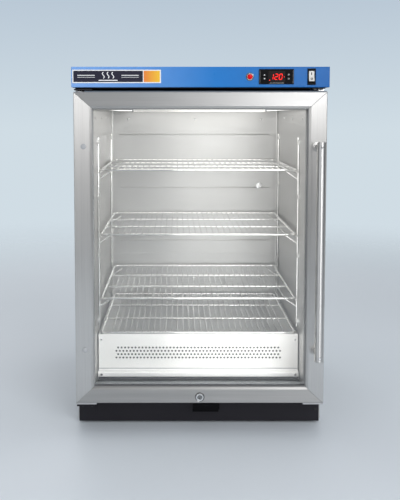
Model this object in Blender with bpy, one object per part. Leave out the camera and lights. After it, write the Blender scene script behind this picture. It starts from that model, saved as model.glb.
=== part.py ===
"""Undercounter hot towel cabinet, built as separate pieces in metres.

X runs to the right of someone facing the door, the door faces -Y and Z is up.
The origin is at the floor, in the middle of the footprint.
"""
import bmesh
import bpy
import math
from mathutils import Matrix, Vector

# ---- driving sizes ----
FLOOR = 0.0
HEAD_HALF = 0.300
BODY_HALF = 0.2975
SHEET = 0.0012
GAP = 0.0003

FACE_Y = -0.264
BODY_FRONT = -0.211
REAR_Y = 0.3212
HEAD_BOTTOM = 0.8225
TOP_Z = 0.870
BODY_BOTTOM = 0.012

DOOR_HALF = 0.2955
DOOR_LOW = 0.071
DOOR_HIGH = 0.812
PANE_HALF = 0.2535
PANE_LOW = 0.1095
PANE_HIGH = 0.774
GLASS_EDGE = 0.008
GLASS_THICK = 0.004

LINER_HALF = 0.257
LINER_LOW = 0.088
LINER_HIGH = 0.778
LINER_BACK = 0.290
LINER_FRONT = -0.2045

HINGE_X = -0.2835
HINGE_Y = -0.246
PIN_R = 0.004
BUSH_BORE = 0.00406

SHELF_HALF = 0.249
SHELF_FRONT = -0.134
SHELF_BACK = 0.276
SHELF_LEVELS = (0.620, 0.456, 0.292)
BOTTOM_RACK_Z = 0.203
WIRE_COUNT = 30
WIRE_PITCH = 0.0151
RAIL_HALF = 0.00275

COVER_HALF = 0.2545
COVER_TOP = 0.200

HANDLE_X = 0.273
HANDLE_Y = -0.314
HANDLE_R = 0.010
POST_LEVELS = (0.201, 0.685)

LOCK_Z = 0.086
LOCK_CAM = 0.028

FAN_Y = 0.150
FAN_HALF = 0.040

FEET = {
    "front_left": (-0.262, -0.172),
    "front_right": (0.262, -0.172),
    "rear_left": (-0.262, 0.282),
    "rear_right": (0.262, 0.282),
}
KEYS = {
    "key_up": (0.148, 0.8508),
    "key_down": (0.148, 0.8420),
    "key_mode": (0.204, 0.8515),
    "key_set": (0.204, 0.8420),
}

STEEL = (0.62, 0.62, 0.63)
GALVANISED = (0.50, 0.52, 0.54)
BLUE = (0.05, 0.16, 0.55)
BLACK = (0.012, 0.012, 0.014)
RUBBER = (0.02, 0.02, 0.02)
CHROME = (0.80, 0.80, 0.82)


# what each moving assembly turns or slides on, and the pieces it carries
DOOR_PIECES = (
    "door_rail_bottom", "door_rail_top", "door_stile_left", "door_stile_right", "outer_glass", "inner_glass",
    "glass_spacer", "door_inner_frame", "door_gasket", "handle_bar", "handle_post_lower", "handle_post_upper",
    "plug_cap_lower", "plug_cap_upper", "lock_body", "hinge_bush_lower", "hinge_bush_upper", "door_corner_strip",
)
ROCKER_PIVOT = (0.2575, -0.2605, 0.8469)
LOCK_AXIS = (0.0, -0.255, LOCK_Z)
FAN_AXIS = (0.0, FAN_Y, 0.190)


# ---- shared helpers ----
def clear_scene():
    for obj in list(bpy.data.objects):
        bpy.data.objects.remove(obj, do_unlink=True)


def paint(name, colour, metallic=0.0, roughness=0.45):
    mat = bpy.data.materials.new(name)
    mat.use_nodes = True
    shader = mat.node_tree.nodes["Principled BSDF"]
    shader.inputs["Base Color"].default_value = (*colour, 1.0)
    shader.inputs["Metallic"].default_value = metallic
    shader.inputs["Roughness"].default_value = roughness
    return mat


def finish(name, bm, colour, metallic=0.0, roughness=0.45):
    bmesh.ops.recalc_face_normals(bm, faces=bm.faces)
    mesh = bpy.data.meshes.new(name)
    bm.to_mesh(mesh)
    bm.free()
    mesh.shade_smooth()
    mesh.set_sharp_from_angle(angle=math.radians(35.0))
    mesh.materials.append(paint(name, colour, metallic, roughness))
    obj = bpy.data.objects.new(name, mesh)
    bpy.context.scene.collection.objects.link(obj)
    return obj


def boolean(target, tool_name, bm, operation):
    tool = finish(tool_name, bm, (0.5, 0.5, 0.5))
    tool.hide_render = True
    tool.display_type = "WIRE"
    mod = target.modifiers.new(tool_name, "BOOLEAN")
    mod.operation = operation
    mod.solver = "EXACT"
    mod.object = tool


def add_box(bm, low, high):
    corners = [(x, y, z) for x in (low[0], high[0]) for y in (low[1], high[1]) for z in (low[2], high[2])]
    v = [bm.verts.new(c) for c in corners]
    for quad in ((0, 1, 3, 2), (4, 6, 7, 5), (0, 4, 5, 1), (2, 3, 7, 6), (0, 2, 6, 4), (1, 5, 7, 3)):
        bm.faces.new([v[i] for i in quad])


def add_cup(bm, low, high, inner_low, inner_high, axis, side):
    """A box shell with one open face: side 0 is the low face of the axis, side 1 the high one."""
    outer = [(low, high)[i] for i in (0, 1)]
    inner = [(inner_low, inner_high)[i] for i in (0, 1)]
    keys = [(i, j, k) for i in (0, 1) for j in (0, 1) for k in (0, 1)]
    out = {key: bm.verts.new([outer[key[a]][a] for a in range(3)]) for key in keys}
    inn = {key: bm.verts.new([inner[key[a]][a] for a in range(3)]) for key in keys}
    for a in range(3):
        b, c = [n for n in range(3) if n != a]
        for s in (0, 1):
            loop = []
            for tb, tc in ((0, 0), (1, 0), (1, 1), (0, 1)):
                key = [0, 0, 0]
                key[a], key[b], key[c] = s, tb, tc
                loop.append(tuple(key))
            if a == axis and s == side:
                for i in range(4):
                    k0, k1 = loop[i], loop[(i + 1) % 4]
                    bm.faces.new((out[k0], out[k1], inn[k1], inn[k0]))
            else:
                bm.faces.new([out[key] for key in loop])
                bm.faces.new([inn[key] for key in loop])


def add_prism(bm, outline, axis, low, high):
    """Extrude an outline in the two other axes, in X, Y, Z order, along the given one."""
    others = [n for n in range(3) if n != axis]
    ends = []
    for level in (low, high):
        ring = []
        for p in outline:
            co = [0.0, 0.0, 0.0]
            co[axis] = level
            co[others[0]], co[others[1]] = p
            ring.append(bm.verts.new(co))
        ends.append(ring)
    count = len(outline)
    for i in range(count):
        j = (i + 1) % count
        bm.faces.new((ends[0][i], ends[0][j], ends[1][j], ends[1][i]))
    bm.faces.new(ends[0])
    bm.faces.new(ends[1])


def add_lathe(bm, profile, centre, axis, sides, closed=False):
    """Turn (radius, height) points about an axis through centre; a closed profile makes a ring."""
    others = [n for n in range(3) if n != axis]
    rings = []
    for radius, height in profile:
        steps = 1 if radius == 0.0 else sides
        ring = []
        for s in range(steps):
            angle = 2.0 * math.pi * (s + 0.5) / sides
            co = list(centre)
            co[axis] += height
            co[others[0]] += radius * math.cos(angle)
            co[others[1]] += radius * math.sin(angle)
            ring.append(bm.verts.new(co))
        rings.append(ring)
    pairs = list(zip(rings, rings[1:]))
    if closed:
        pairs.append((rings[-1], rings[0]))
    for a, b in pairs:
        for s in range(sides):
            t = (s + 1) % sides
            loop = [a[s % len(a)], a[t % len(a)], b[t % len(b)], b[s % len(b)]]
            face = [v for i, v in enumerate(loop) if v not in loop[:i]]
            if len(face) > 2:
                bm.faces.new(face)
    if not closed:
        for ring in (rings[0], rings[-1]):
            if len(ring) > 1:
                bm.faces.new(ring)


def add_rod(bm, centre, axis, radius, length, sides):
    """A plain cylinder that starts at centre and runs along the axis."""
    add_lathe(bm, ((radius, 0.0), (radius, length)), centre, axis, sides)


def add_tube(bm, points, radius, sides, up, closed=False, turn=0.5):
    """Sweep a round or square section along a flat path; up is the path's normal."""
    path = [Vector(p) for p in points]
    count = len(path)
    up = Vector(up)
    rings = []
    for i in range(count):
        before = path[i] - path[i - 1] if (i or closed) else path[1] - path[0]
        after = path[(i + 1) % count] - path[i] if (i < count - 1 or closed) else before
        t_in = before.normalized()
        t_out = after.normalized()
        plane = (t_in + t_out).normalized()
        side = t_in.cross(up).normalized()
        ring = []
        for s in range(sides):
            angle = 2.0 * math.pi * (s + turn) / sides
            off = side * math.cos(angle) * radius + up * math.sin(angle) * radius
            off -= t_in * (off.dot(plane) / t_in.dot(plane))
            ring.append(bm.verts.new(path[i] + off))
        rings.append(ring)
    spans = count if closed else count - 1
    for i in range(spans):
        a, b = rings[i], rings[(i + 1) % count]
        for s in range(sides):
            t = (s + 1) % sides
            bm.faces.new((a[s], a[t], b[t], b[s]))
    if not closed:
        bm.faces.new(rings[0])
        bm.faces.new(rings[-1])


def rect_corner(rect, grow, index):
    x0, x1, z0, z1 = rect
    return (
        (x0 - grow, z0 - grow),
        (x1 + grow, z0 - grow),
        (x1 + grow, z1 + grow),
        (x0 - grow, z1 + grow),
    )[index % 4]


def section_at(profile, outer, inner, index):
    """The section's points at one corner: edge 0 is inset from outer, edge 1 grows out from inner."""
    points = []
    for edge, offset, y in profile:
        x, z = rect_corner(inner, offset, index) if edge else rect_corner(outer, -offset, index)
        points.append(Vector((x, y, z)))
    return points


def add_frame(bm, profile, outer, inner):
    """Run a section all the way round a rectangle, as one ring."""
    rings = [[bm.verts.new(p) for p in section_at(profile, outer, inner, k)] for k in range(4)]
    count = len(profile)
    for k in range(4):
        a, b = rings[k], rings[(k + 1) % 4]
        for i in range(count):
            j = (i + 1) % count
            bm.faces.new((a[i], a[j], b[j], b[i]))


def add_mitred(bm, profile, outer, inner, index, gap):
    """Run a section along one side of a rectangle, mitred at both ends."""
    along = (Vector((1, 0, 0)), Vector((0, 0, 1)), Vector((-1, 0, 0)), Vector((0, 0, -1)))[index]
    a = [bm.verts.new(p + along * gap / 2) for p in section_at(profile, outer, inner, index)]
    b = [bm.verts.new(p - along * gap / 2) for p in section_at(profile, outer, inner, index + 1)]
    count = len(profile)
    for i in range(count):
        j = (i + 1) % count
        bm.faces.new((a[i], a[j], b[j], b[i]))
    bm.faces.new(a)
    bm.faces.new(b)


def bevel_where(bm, width, test, segments=1):
    bmesh.ops.recalc_face_normals(bm, faces=bm.faces)
    edges = [e for e in bm.edges if test(e.verts[0].co) and test(e.verts[1].co)]
    bmesh.ops.bevel(bm, geom=edges, offset=width, segments=segments, profile=0.5, affect="EDGES")


# ---- cabinet shell ----
def side_panel(name, side):
    """Folded outer sheet with a return at the front and at the rear."""
    bm = bmesh.new()
    out, inn, lip = BODY_HALF, BODY_HALF - SHEET, BODY_HALF - 0.014
    front, rear = BODY_FRONT, 0.3195
    outline = (
        (lip, front), (out, front), (out, rear), (lip, rear),
        (lip, rear - SHEET), (inn, rear - SHEET), (inn, front + SHEET), (lip, front + SHEET),
    )
    add_prism(bm, [(side * x, y) for x, y in outline], 2, BODY_BOTTOM, HEAD_BOTTOM - GAP)
    return finish(name, bm, STEEL, 1.0, 0.35)


def rear_panel():
    """Flat galvanised sheet with vent slots high up."""
    bm = bmesh.new()
    add_box(bm, (-0.2972, 0.3198, BODY_BOTTOM), (0.2972, REAR_Y, HEAD_BOTTOM - GAP))
    obj = finish("rear_panel", bm, GALVANISED, 1.0, 0.5)
    slots = bmesh.new()
    for i in range(6):
        z = 0.120 + 0.016 * i
        add_box(slots, (-0.060, 0.315, z), (0.060, 0.326, z + 0.006))
    boolean(obj, "cut_rear_vents", slots, "DIFFERENCE")


def base_frame():
    """Welded tray under the shell, with a drilled shelf in each corner for the feet."""
    bm = bmesh.new()
    low, high = (-0.2955, -0.2085, 0.014), (0.2955, 0.3180, 0.0705)
    inner_low, inner_high = (-0.2935, -0.2065, 0.014), (0.2935, 0.3160, 0.0685)
    add_cup(bm, low, high, inner_low, inner_high, 2, 0)
    obj = finish("base_frame", bm, GALVANISED, 1.0, 0.5)
    shelves = bmesh.new()
    for x, y in FEET.values():
        edge_x = 0.2945 if x > 0 else -0.2945
        edge_y = 0.3170 if y > 0 else -0.2075
        back_x = x - math.copysign(0.022, x)
        back_y = y - math.copysign(0.022, y)
        add_box(shelves, (min(edge_x, back_x), min(edge_y, back_y), 0.034),
                (max(edge_x, back_x), max(edge_y, back_y), 0.040))
    boolean(obj, "join_corner_shelves", shelves, "UNION")
    holes = bmesh.new()
    for x, y in FEET.values():
        add_rod(holes, (x, y, 0.028), 2, 0.00508, 0.020, 16)
    boolean(obj, "cut_foot_holes", holes, "DIFFERENCE")


def kick_plate():
    bm = bmesh.new()
    add_box(bm, (-0.295, -0.2133, 0.006), (0.295, -0.2113, 0.066))
    bevel_where(bm, 0.0006, lambda co: co.y < -0.213)
    finish("kick_plate", bm, BLACK, 0.2, 0.5)


def levelling_foot(name, x, y):
    """Turned pad and threaded stud in one piece."""
    bm = bmesh.new()
    profile = (
        (0.0, 0.0), (0.018, 0.0), (0.019, 0.002), (0.019, 0.006), (0.011, 0.009),
        (0.011, 0.015), (0.005, 0.015), (0.005, 0.056), (0.0, 0.056),
    )
    add_lathe(bm, profile, (x, y, FLOOR), 2, 16)
    finish("foot_" + name, bm, BLACK, 0.0, 0.5)


def inner_liner():
    bm = bmesh.new()
    low = (-LINER_HALF - SHEET, LINER_FRONT, LINER_LOW - SHEET)
    high = (LINER_HALF + SHEET, LINER_BACK + SHEET, LINER_HIGH + SHEET)
    inner_low = (-LINER_HALF, LINER_FRONT, LINER_LOW)
    inner_high = (LINER_HALF, LINER_BACK, LINER_HIGH)
    add_cup(bm, low, high, inner_low, inner_high, 1, 0)
    finish("inner_liner", bm, STEEL, 1.0, 0.25)


def insulation():
    """Mineral wool wrapped round five sides of the liner."""
    bm = bmesh.new()
    clear = SHEET + GAP
    low = (-0.2830, LINER_FRONT, 0.0710)
    high = (0.2830, 0.3162, 0.8040)
    inner_low = (-LINER_HALF - clear, LINER_FRONT, LINER_LOW - clear)
    inner_high = (LINER_HALF + clear, LINER_BACK + clear, LINER_HIGH + clear)
    add_cup(bm, low, high, inner_low, inner_high, 1, 0)
    finish("insulation_blanket", bm, (0.72, 0.66, 0.42), 0.0, 0.95)


def breaker_frame():
    """Plastic ring that joins the liner to the shell and takes the door seal."""
    bm = bmesh.new()
    outer = (-0.2832, 0.2832, 0.0715, 0.8085)
    inner = (-0.2550, 0.2550, 0.0900, 0.7760)
    profile = (
        (0, 0.0, BODY_FRONT), (1, 0.002, BODY_FRONT), (1, 0.0, BODY_FRONT + 0.002),
        (1, 0.0, LINER_FRONT - GAP), (0, 0.0, LINER_FRONT - GAP),
    )
    add_frame(bm, profile, outer, inner)
    finish("front_breaker_frame", bm, (0.05, 0.05, 0.055), 0.0, 0.5)


# ---- control head ----
def top_cover():
    """Folded housing of the control head, open at the front, with an inlet cut-out at the rear."""
    bm = bmesh.new()
    low, high = (-HEAD_HALF, -0.2497, HEAD_BOTTOM), (HEAD_HALF, REAR_Y, TOP_Z)
    inner_low = (-HEAD_HALF + SHEET, -0.2497, HEAD_BOTTOM + SHEET)
    inner_high = (HEAD_HALF - SHEET, REAR_Y - SHEET, TOP_Z - SHEET)
    add_cup(bm, low, high, inner_low, inner_high, 1, 0)
    bevel_where(bm, 0.0010, lambda co: co.z > TOP_Z - 1e-6)
    obj = finish("top_cover", bm, BLUE, 0.3, 0.35)
    hole = bmesh.new()
    add_box(hole, (0.1863, 0.312, 0.8343), (0.2137, 0.330, 0.8547))
    boolean(obj, "cut_inlet", hole, "DIFFERENCE")


def control_fascia():
    bm = bmesh.new()
    back = -0.2500
    low, high = (-HEAD_HALF, FACE_Y, HEAD_BOTTOM), (HEAD_HALF, back, TOP_Z)
    inner_low = (-HEAD_HALF + 0.0015, FACE_Y + 0.0015, HEAD_BOTTOM + 0.0015)
    inner_high = (HEAD_HALF - 0.0015, back, TOP_Z - 0.0015)
    add_cup(bm, low, high, inner_low, inner_high, 1, 1)
    bevel_where(bm, 0.0014, lambda co: co.y < FACE_Y + 1e-6, 2)
    obj = finish("control_fascia", bm, BLUE, 0.3, 0.35)
    holes = bmesh.new()
    add_rod(holes, (0.1144, -0.270, 0.8468), 1, 0.0068, 0.012, 20)
    add_box(holes, (0.1376, -0.270, 0.8313), (0.2144, -0.258, 0.8626))
    add_box(holes, (0.2494, -0.270, 0.8302), (0.2656, -0.258, 0.8635))
    boolean(obj, "cut_fascia_openings", holes, "DIFFERENCE")


def nameplate():
    bm = bmesh.new()
    add_box(bm, (-0.297, FACE_Y - 0.0015, 0.832), (-0.0915, FACE_Y - GAP, 0.863))
    bevel_where(bm, 0.0004, lambda co: co.y < FACE_Y - 0.0014)
    finish("nameplate", bm, (0.05, 0.06, 0.10), 0.3, 0.3)


def pilot_lamp():
    centre = (0.1144, FACE_Y, 0.8468)
    bm = bmesh.new()
    profile = (
        (0.0080, -GAP), (0.0080, -0.0018), (0.0070, -0.0028), (0.0062, -0.0028),
        (0.0062, 0.0120), (0.0066, 0.0120), (0.0066, -GAP),
    )
    add_lathe(bm, profile, centre, 1, 20, closed=True)
    finish("pilot_lamp_bezel", bm, CHROME, 1.0, 0.15)
    bm = bmesh.new()
    profile = ((0.0, 0.0115), (0.0059, 0.0115), (0.0059, -0.0034), (0.0042, -0.0056), (0.0, -0.0064))
    add_lathe(bm, profile, centre, 1, 20)
    finish("pilot_lamp_lens", bm, (0.75, 0.02, 0.02), 0.0, 0.15)


def controller():
    """Panel-mounted temperature controller: housing, display window and four keys."""
    front, seat = FACE_Y - 0.0035, FACE_Y - GAP
    bm = bmesh.new()
    add_box(bm, (0.1357, front, 0.8296), (0.2163, seat, 0.8643))
    bevel_where(bm, 0.0008, lambda co: co.y < front + 1e-6)
    obj = finish("controller_housing", bm, BLACK, 0.0, 0.4)
    rear = bmesh.new()
    add_box(rear, (0.1380, seat - 0.0006, 0.8317), (0.2140, -0.205, 0.8622))
    boolean(obj, "join_controller_body", rear, "UNION")
    pockets = bmesh.new()
    add_box(pockets, (0.1565, front - 0.002, 0.8335), (0.1965, front + 0.0014, 0.8605))
    for x, z in KEYS.values():
        add_box(pockets, (x - 0.0048, front - 0.002, z - 0.0033), (x + 0.0048, front + 0.0030, z + 0.0033))
    boolean(obj, "cut_controller_pockets", pockets, "DIFFERENCE")
    bm = bmesh.new()
    add_box(bm, (0.1568, front + 0.0002, 0.8338), (0.1962, front + 0.0011, 0.8602))
    finish("controller_window", bm, (0.03, 0.005, 0.005), 0.0, 0.1)
    for name, (x, z) in KEYS.items():
        bm = bmesh.new()
        add_box(bm, (x - 0.0045, front - 0.0011, z - 0.0030), (x + 0.0045, front + 0.0020, z + 0.0030))
        bevel_where(bm, 0.0006, lambda co: co.y < front - 0.0010)
        finish(name, bm, (0.10, 0.10, 0.11), 0.0, 0.5)


def rocker_switch():
    """Snap-in bezel and the paddle that tips in it on two short pivots."""
    x0, pivot_y, mid_z = ROCKER_PIVOT
    bm = bmesh.new()
    add_box(bm, (0.2480, FACE_Y - 0.0025, 0.8280), (0.2670, FACE_Y - GAP, 0.8657))
    bevel_where(bm, 0.0008, lambda co: co.y < FACE_Y - 0.0024)
    obj = finish("rocker_bezel", bm, BLACK, 0.0, 0.35)
    rear = bmesh.new()
    add_box(rear, (0.2498, FACE_Y - 0.0010, 0.8306), (0.2652, -0.2440, 0.8631))
    boolean(obj, "join_rocker_body", rear, "UNION")
    pocket = bmesh.new()
    add_box(pocket, (0.2510, -0.270, 0.8335), (0.2640, -0.2500, 0.8603))
    boolean(obj, "cut_rocker_pocket", pocket, "DIFFERENCE")
    bore = bmesh.new()
    add_rod(bore, (x0 - 0.0073, pivot_y, mid_z), 0, 0.00106, 0.0146, 16)
    boolean(obj, "cut_rocker_pivot", bore, "DIFFERENCE")
    bm = bmesh.new()
    outline = ((-0.0050, 0.0), (-0.0072, 0.0120), (-0.0020, 0.0108), (0.0042, 0.0050),
               (0.0042, -0.0050), (-0.0020, -0.0108), (-0.0072, -0.0120))
    tilt = Matrix.Rotation(math.radians(-10.0), 2)
    tipped = []
    for y, z in outline:
        p = tilt @ Vector((y, z))
        tipped.append((pivot_y + p.x, mid_z + p.y))
    add_prism(bm, tipped, 0, x0 - 0.00625, x0 + 0.00625)
    obj = finish("rocker_paddle", bm, (0.75, 0.75, 0.72), 0.0, 0.35)
    pins = bmesh.new()
    add_rod(pins, (x0 - 0.0071, pivot_y, mid_z), 0, 0.0010, 0.0142, 16)
    boolean(obj, "join_paddle_pins", pins, "UNION")


def power_inlet():
    """Three-pin appliance inlet in the rear of the control head."""
    bm = bmesh.new()
    outline = ((0.1765, 0.8320), (0.2235, 0.8320), (0.2235, 0.8570), (0.1765, 0.8570))
    add_prism(bm, outline, 1, REAR_Y + GAP, 0.3240)
    obj = finish("power_inlet", bm, BLACK, 0.0, 0.4)
    barrel = bmesh.new()
    add_box(barrel, (0.1868, 0.2960, 0.8348), (0.2132, 0.3225, 0.8542))
    boolean(obj, "join_inlet_barrel", barrel, "UNION")
    mouth = bmesh.new()
    add_box(mouth, (0.1885, 0.3060, 0.8365), (0.2115, 0.3260, 0.8525))
    boolean(obj, "cut_inlet_mouth", mouth, "DIFFERENCE")
    pins = bmesh.new()
    for x, z in ((0.1930, 0.8435), (0.2000, 0.8475), (0.2070, 0.8435)):
        add_box(pins, (x - 0.001, 0.3040, z - 0.002), (x + 0.001, 0.3200, z + 0.002))
    boolean(obj, "join_inlet_pins", pins, "UNION")


# ---- door ----
def door_frame():
    """Four mitred channels with a bevelled sight edge."""
    outer = (-DOOR_HALF, DOOR_HALF, DOOR_LOW, DOOR_HIGH)
    inner = (-PANE_HALF, PANE_HALF, PANE_LOW, PANE_HIGH)
    skin = FACE_Y + SHEET
    profile = (
        (0, 0.0, -0.2222), (0, 0.0, FACE_Y + 0.0015), (0, 0.0015, FACE_Y),
        (1, 0.0050, FACE_Y), (1, 0.0, FACE_Y + 0.0035), (1, 0.0, -0.2570),
        (1, 0.0012, -0.2570), (1, 0.0012, FACE_Y + 0.0043), (1, 0.0055, skin),
        (0, SHEET, skin), (0, SHEET, -0.2222),
    )
    names = ("door_rail_bottom", "door_stile_right", "door_rail_top", "door_stile_left")
    rails = {}
    for index, name in enumerate(names):
        bm = bmesh.new()
        add_mitred(bm, profile, outer, inner, index, GAP)
        rails[name] = finish(name, bm, STEEL, 1.0, 0.3)
    holes = bmesh.new()
    add_rod(holes, (0.0, -0.270, LOCK_Z), 1, 0.0083, 0.010, 20)
    add_rod(holes, (HINGE_X, HINGE_Y, 0.065), 2, 0.0073, 0.010, 20)
    add_box(holes, (-0.0065, -0.2480, 0.065), (0.0320, -0.2405, 0.078))
    boolean(rails["door_rail_bottom"], "cut_bottom_rail", holes, "DIFFERENCE")
    holes = bmesh.new()
    add_rod(holes, (HINGE_X, HINGE_Y, 0.806), 2, 0.0073, 0.010, 20)
    boolean(rails["door_rail_top"], "cut_top_rail", holes, "DIFFERENCE")
    holes = bmesh.new()
    for z in POST_LEVELS:
        add_rod(holes, (-HANDLE_X, -0.270, z), 1, 0.0043, 0.010, 12)
    boolean(rails["door_stile_left"], "cut_left_stile", holes, "DIFFERENCE")


def door_glazing():
    """Two panes either side of a spacer bar, and the ring that clamps them from inside."""
    edge = PANE_HALF + GLASS_EDGE
    low, high = PANE_LOW - GLASS_EDGE, PANE_HIGH + GLASS_EDGE
    outer_face = -0.2567
    bm = bmesh.new()
    add_box(bm, (-edge, outer_face, low), (edge, outer_face + GLASS_THICK, high))
    finish("outer_glass", bm, (0.80, 0.86, 0.86), 0.0, 0.05)
    spacer = outer_face + GLASS_THICK + GAP
    bm = bmesh.new()
    profile = ((0, 0.0, spacer), (1, 0.001, spacer), (1, 0.001, spacer + 0.011), (0, 0.0, spacer + 0.011))
    rim = (-edge, edge, low, high)
    pane = (-PANE_HALF, PANE_HALF, PANE_LOW, PANE_HIGH)
    add_frame(bm, profile, rim, pane)
    finish("glass_spacer", bm, (0.55, 0.56, 0.58), 1.0, 0.4)
    inner_face = spacer + 0.011 + GAP
    bm = bmesh.new()
    add_box(bm, (-edge, inner_face, low), (edge, inner_face + GLASS_THICK, high))
    finish("inner_glass", bm, (0.80, 0.86, 0.86), 0.0, 0.05)
    seat = inner_face + GLASS_THICK + GAP
    bm = bmesh.new()
    outer = (-DOOR_HALF, DOOR_HALF, DOOR_LOW, DOOR_HIGH)
    profile = ((0, 0.0016, seat), (1, 0.0, seat), (1, 0.0, -0.2230), (1, 0.0020, -0.2210), (0, 0.0016, -0.2210))
    add_frame(bm, profile, outer, pane)
    finish("door_inner_frame", bm, (0.06, 0.06, 0.065), 0.0, 0.45)


def door_gasket():
    """Magnetic bulb seal round the back of the door."""
    bm = bmesh.new()
    outer = (-0.2800, 0.2800, 0.0745, 0.8050)
    inner = (-0.2640, 0.2640, 0.0885, 0.7790)
    front, back = -0.2207, -0.2114
    profile = (
        (0, 0.003, front), (1, 0.003, front), (1, 0.0, front + 0.004), (1, 0.0, back - 0.002),
        (1, 0.002, back), (0, 0.002, back), (0, 0.0, back - 0.002), (0, 0.0, front + 0.004),
    )
    add_frame(bm, profile, outer, inner)
    finish("door_gasket", bm, RUBBER, 0.0, 0.8)


def handle():
    """Round pull bar on two turned posts."""
    bm = bmesh.new()
    profile = ((0.0, 0.189), (0.0086, 0.189), (HANDLE_R, 0.1904), (HANDLE_R, 0.6956), (0.0086, 0.697), (0.0, 0.697))
    add_lathe(bm, profile, (HANDLE_X, HANDLE_Y, 0.0), 2, 24)
    finish("handle_bar", bm, STEEL, 1.0, 0.25)
    for label, z in zip(("lower", "upper"), POST_LEVELS):
        bm = bmesh.new()
        profile = (
            (0.0, -GAP), (0.0090, -GAP), (0.0090, -0.0025), (0.0082, -0.0035),
            (0.0060, -0.0035), (0.0060, -0.0460), (0.0, -0.0460),
        )
        add_lathe(bm, profile, (HANDLE_X, FACE_Y, z), 1, 20)
        post = finish("handle_post_" + label, bm, STEEL, 1.0, 0.25)
        saddle = bmesh.new()
        add_rod(saddle, (HANDLE_X, HANDLE_Y, z - 0.012), 2, HANDLE_R + 0.0002, 0.024, 24)
        boolean(post, "cut_saddle_" + label, saddle, "DIFFERENCE")


def plug_caps():
    """Press-in caps over the spare handle holes of the hinge-side stile."""
    for label, z in zip(("lower", "upper"), POST_LEVELS):
        bm = bmesh.new()
        profile = (
            (0.0, 0.0060), (0.0040, 0.0060), (0.0040, -GAP), (0.0065, -GAP),
            (0.0060, -0.0014), (0.0035, -0.0024), (0.0, -0.0027),
        )
        add_lathe(bm, profile, (-HANDLE_X, FACE_Y, z), 1, 16)
        finish("plug_cap_" + label, bm, STEEL, 1.0, 0.3)


def door_lock():
    """Cam lock: fixed housing, and a keyed plug that carries the cam."""
    centre = (0.0, FACE_Y, LOCK_Z)
    bm = bmesh.new()
    profile = (
        (0.0080, -GAP), (0.0095, -GAP), (0.0095, -0.0018), (0.0085, -0.0028), (0.00558, -0.0028),
        (0.00558, 0.0165), (0.0080, 0.0165),
    )
    add_lathe(bm, profile, centre, 1, 20, closed=True)
    finish("lock_body", bm, CHROME, 1.0, 0.2)
    bm = bmesh.new()
    add_rod(bm, (0.0, FACE_Y - 0.0034, LOCK_Z), 1, 0.0055, 0.0239, 20)
    obj = finish("lock_plug", bm, CHROME, 1.0, 0.25)
    cam = bmesh.new()
    add_box(cam, (-0.0030, -0.2455, LOCK_Z - 0.004), (LOCK_CAM, -0.2430, LOCK_Z + 0.004))
    boolean(obj, "join_lock_cam", cam, "UNION")
    slot = bmesh.new()
    add_box(slot, (-0.0006, -0.270, LOCK_Z - 0.0032), (0.0006, -0.2640, LOCK_Z + 0.0032))
    boolean(obj, "cut_key_slot", slot, "DIFFERENCE")


def lock_strike():
    """Folded catch on the kick plate that the cam drops behind."""
    bm = bmesh.new()
    outline = (
        (-0.2136, 0.030), (-0.2136, 0.0520), (-0.2498, 0.0520), (-0.2498, 0.0660),
        (-0.2520, 0.0660), (-0.2520, 0.0500), (-0.2158, 0.0500), (-0.2158, 0.030),
    )
    add_prism(bm, outline, 0, -0.016, 0.048)
    finish("lock_strike", bm, BLACK, 0.2, 0.45)


def hinges():
    """Top and bottom pivots: a bracket with a fixed pin, and a bush pressed into the door."""
    left, right = -0.2945, -0.2530
    bm = bmesh.new()
    outline = (
        (-0.2580, 0.0610), (-0.2158, 0.0610), (-0.2158, 0.0280),
        (-0.2136, 0.0280), (-0.2136, 0.0640), (-0.2580, 0.0640),
    )
    add_prism(bm, outline, 0, left, right)
    obj = finish("lower_hinge_bracket", bm, BLACK, 0.3, 0.4)
    pin = bmesh.new()
    add_rod(pin, (HINGE_X, HINGE_Y, 0.0625), 2, PIN_R, 0.0225, 24)
    boolean(obj, "join_lower_pin", pin, "UNION")
    bm = bmesh.new()
    outline = (
        (-0.2580, 0.8160), (-0.2113, 0.8160), (-0.2113, 0.8222),
        (-0.2350, 0.8222), (-0.2350, 0.8190), (-0.2580, 0.8190),
    )
    add_prism(bm, outline, 0, left, right)
    obj = finish("upper_hinge_bracket", bm, STEEL, 1.0, 0.3)
    pin = bmesh.new()
    add_rod(pin, (HINGE_X, HINGE_Y, 0.7980), 2, PIN_R, 0.0195, 24)
    boolean(obj, "join_upper_pin", pin, "UNION")
    bm = bmesh.new()
    add_box(bm, (-0.2950, -0.2620, 0.0672), (-0.2470, -0.2260, 0.0707))
    obj = finish("hinge_bush_lower", bm, (0.45, 0.46, 0.48), 0.0, 0.5)
    boss = bmesh.new()
    add_rod(boss, (HINGE_X, HINGE_Y, 0.0690), 2, 0.0070, 0.0190, 20)
    boolean(obj, "join_lower_boss", boss, "UNION")
    bore = bmesh.new()
    add_rod(bore, (HINGE_X, HINGE_Y, 0.0600), 2, BUSH_BORE, 0.0400, 24)
    boolean(obj, "cut_lower_bore", bore, "DIFFERENCE")
    bm = bmesh.new()
    profile = ((BUSH_BORE, 0.7960), (0.0070, 0.7960), (0.0070, 0.8123), (0.0090, 0.8123), (0.0090, 0.8137),
               (BUSH_BORE, 0.8137))
    add_lathe(bm, profile, (HINGE_X, HINGE_Y, 0.0), 2, 24, closed=True)
    finish("hinge_bush_upper", bm, (0.45, 0.46, 0.48), 0.0, 0.5)
    bm = bmesh.new()
    add_box(bm, (0.2470, -0.2620, 0.0672), (0.2950, -0.2260, 0.0707))
    finish("door_corner_strip", bm, (0.45, 0.46, 0.48), 0.0, 0.5)


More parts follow.
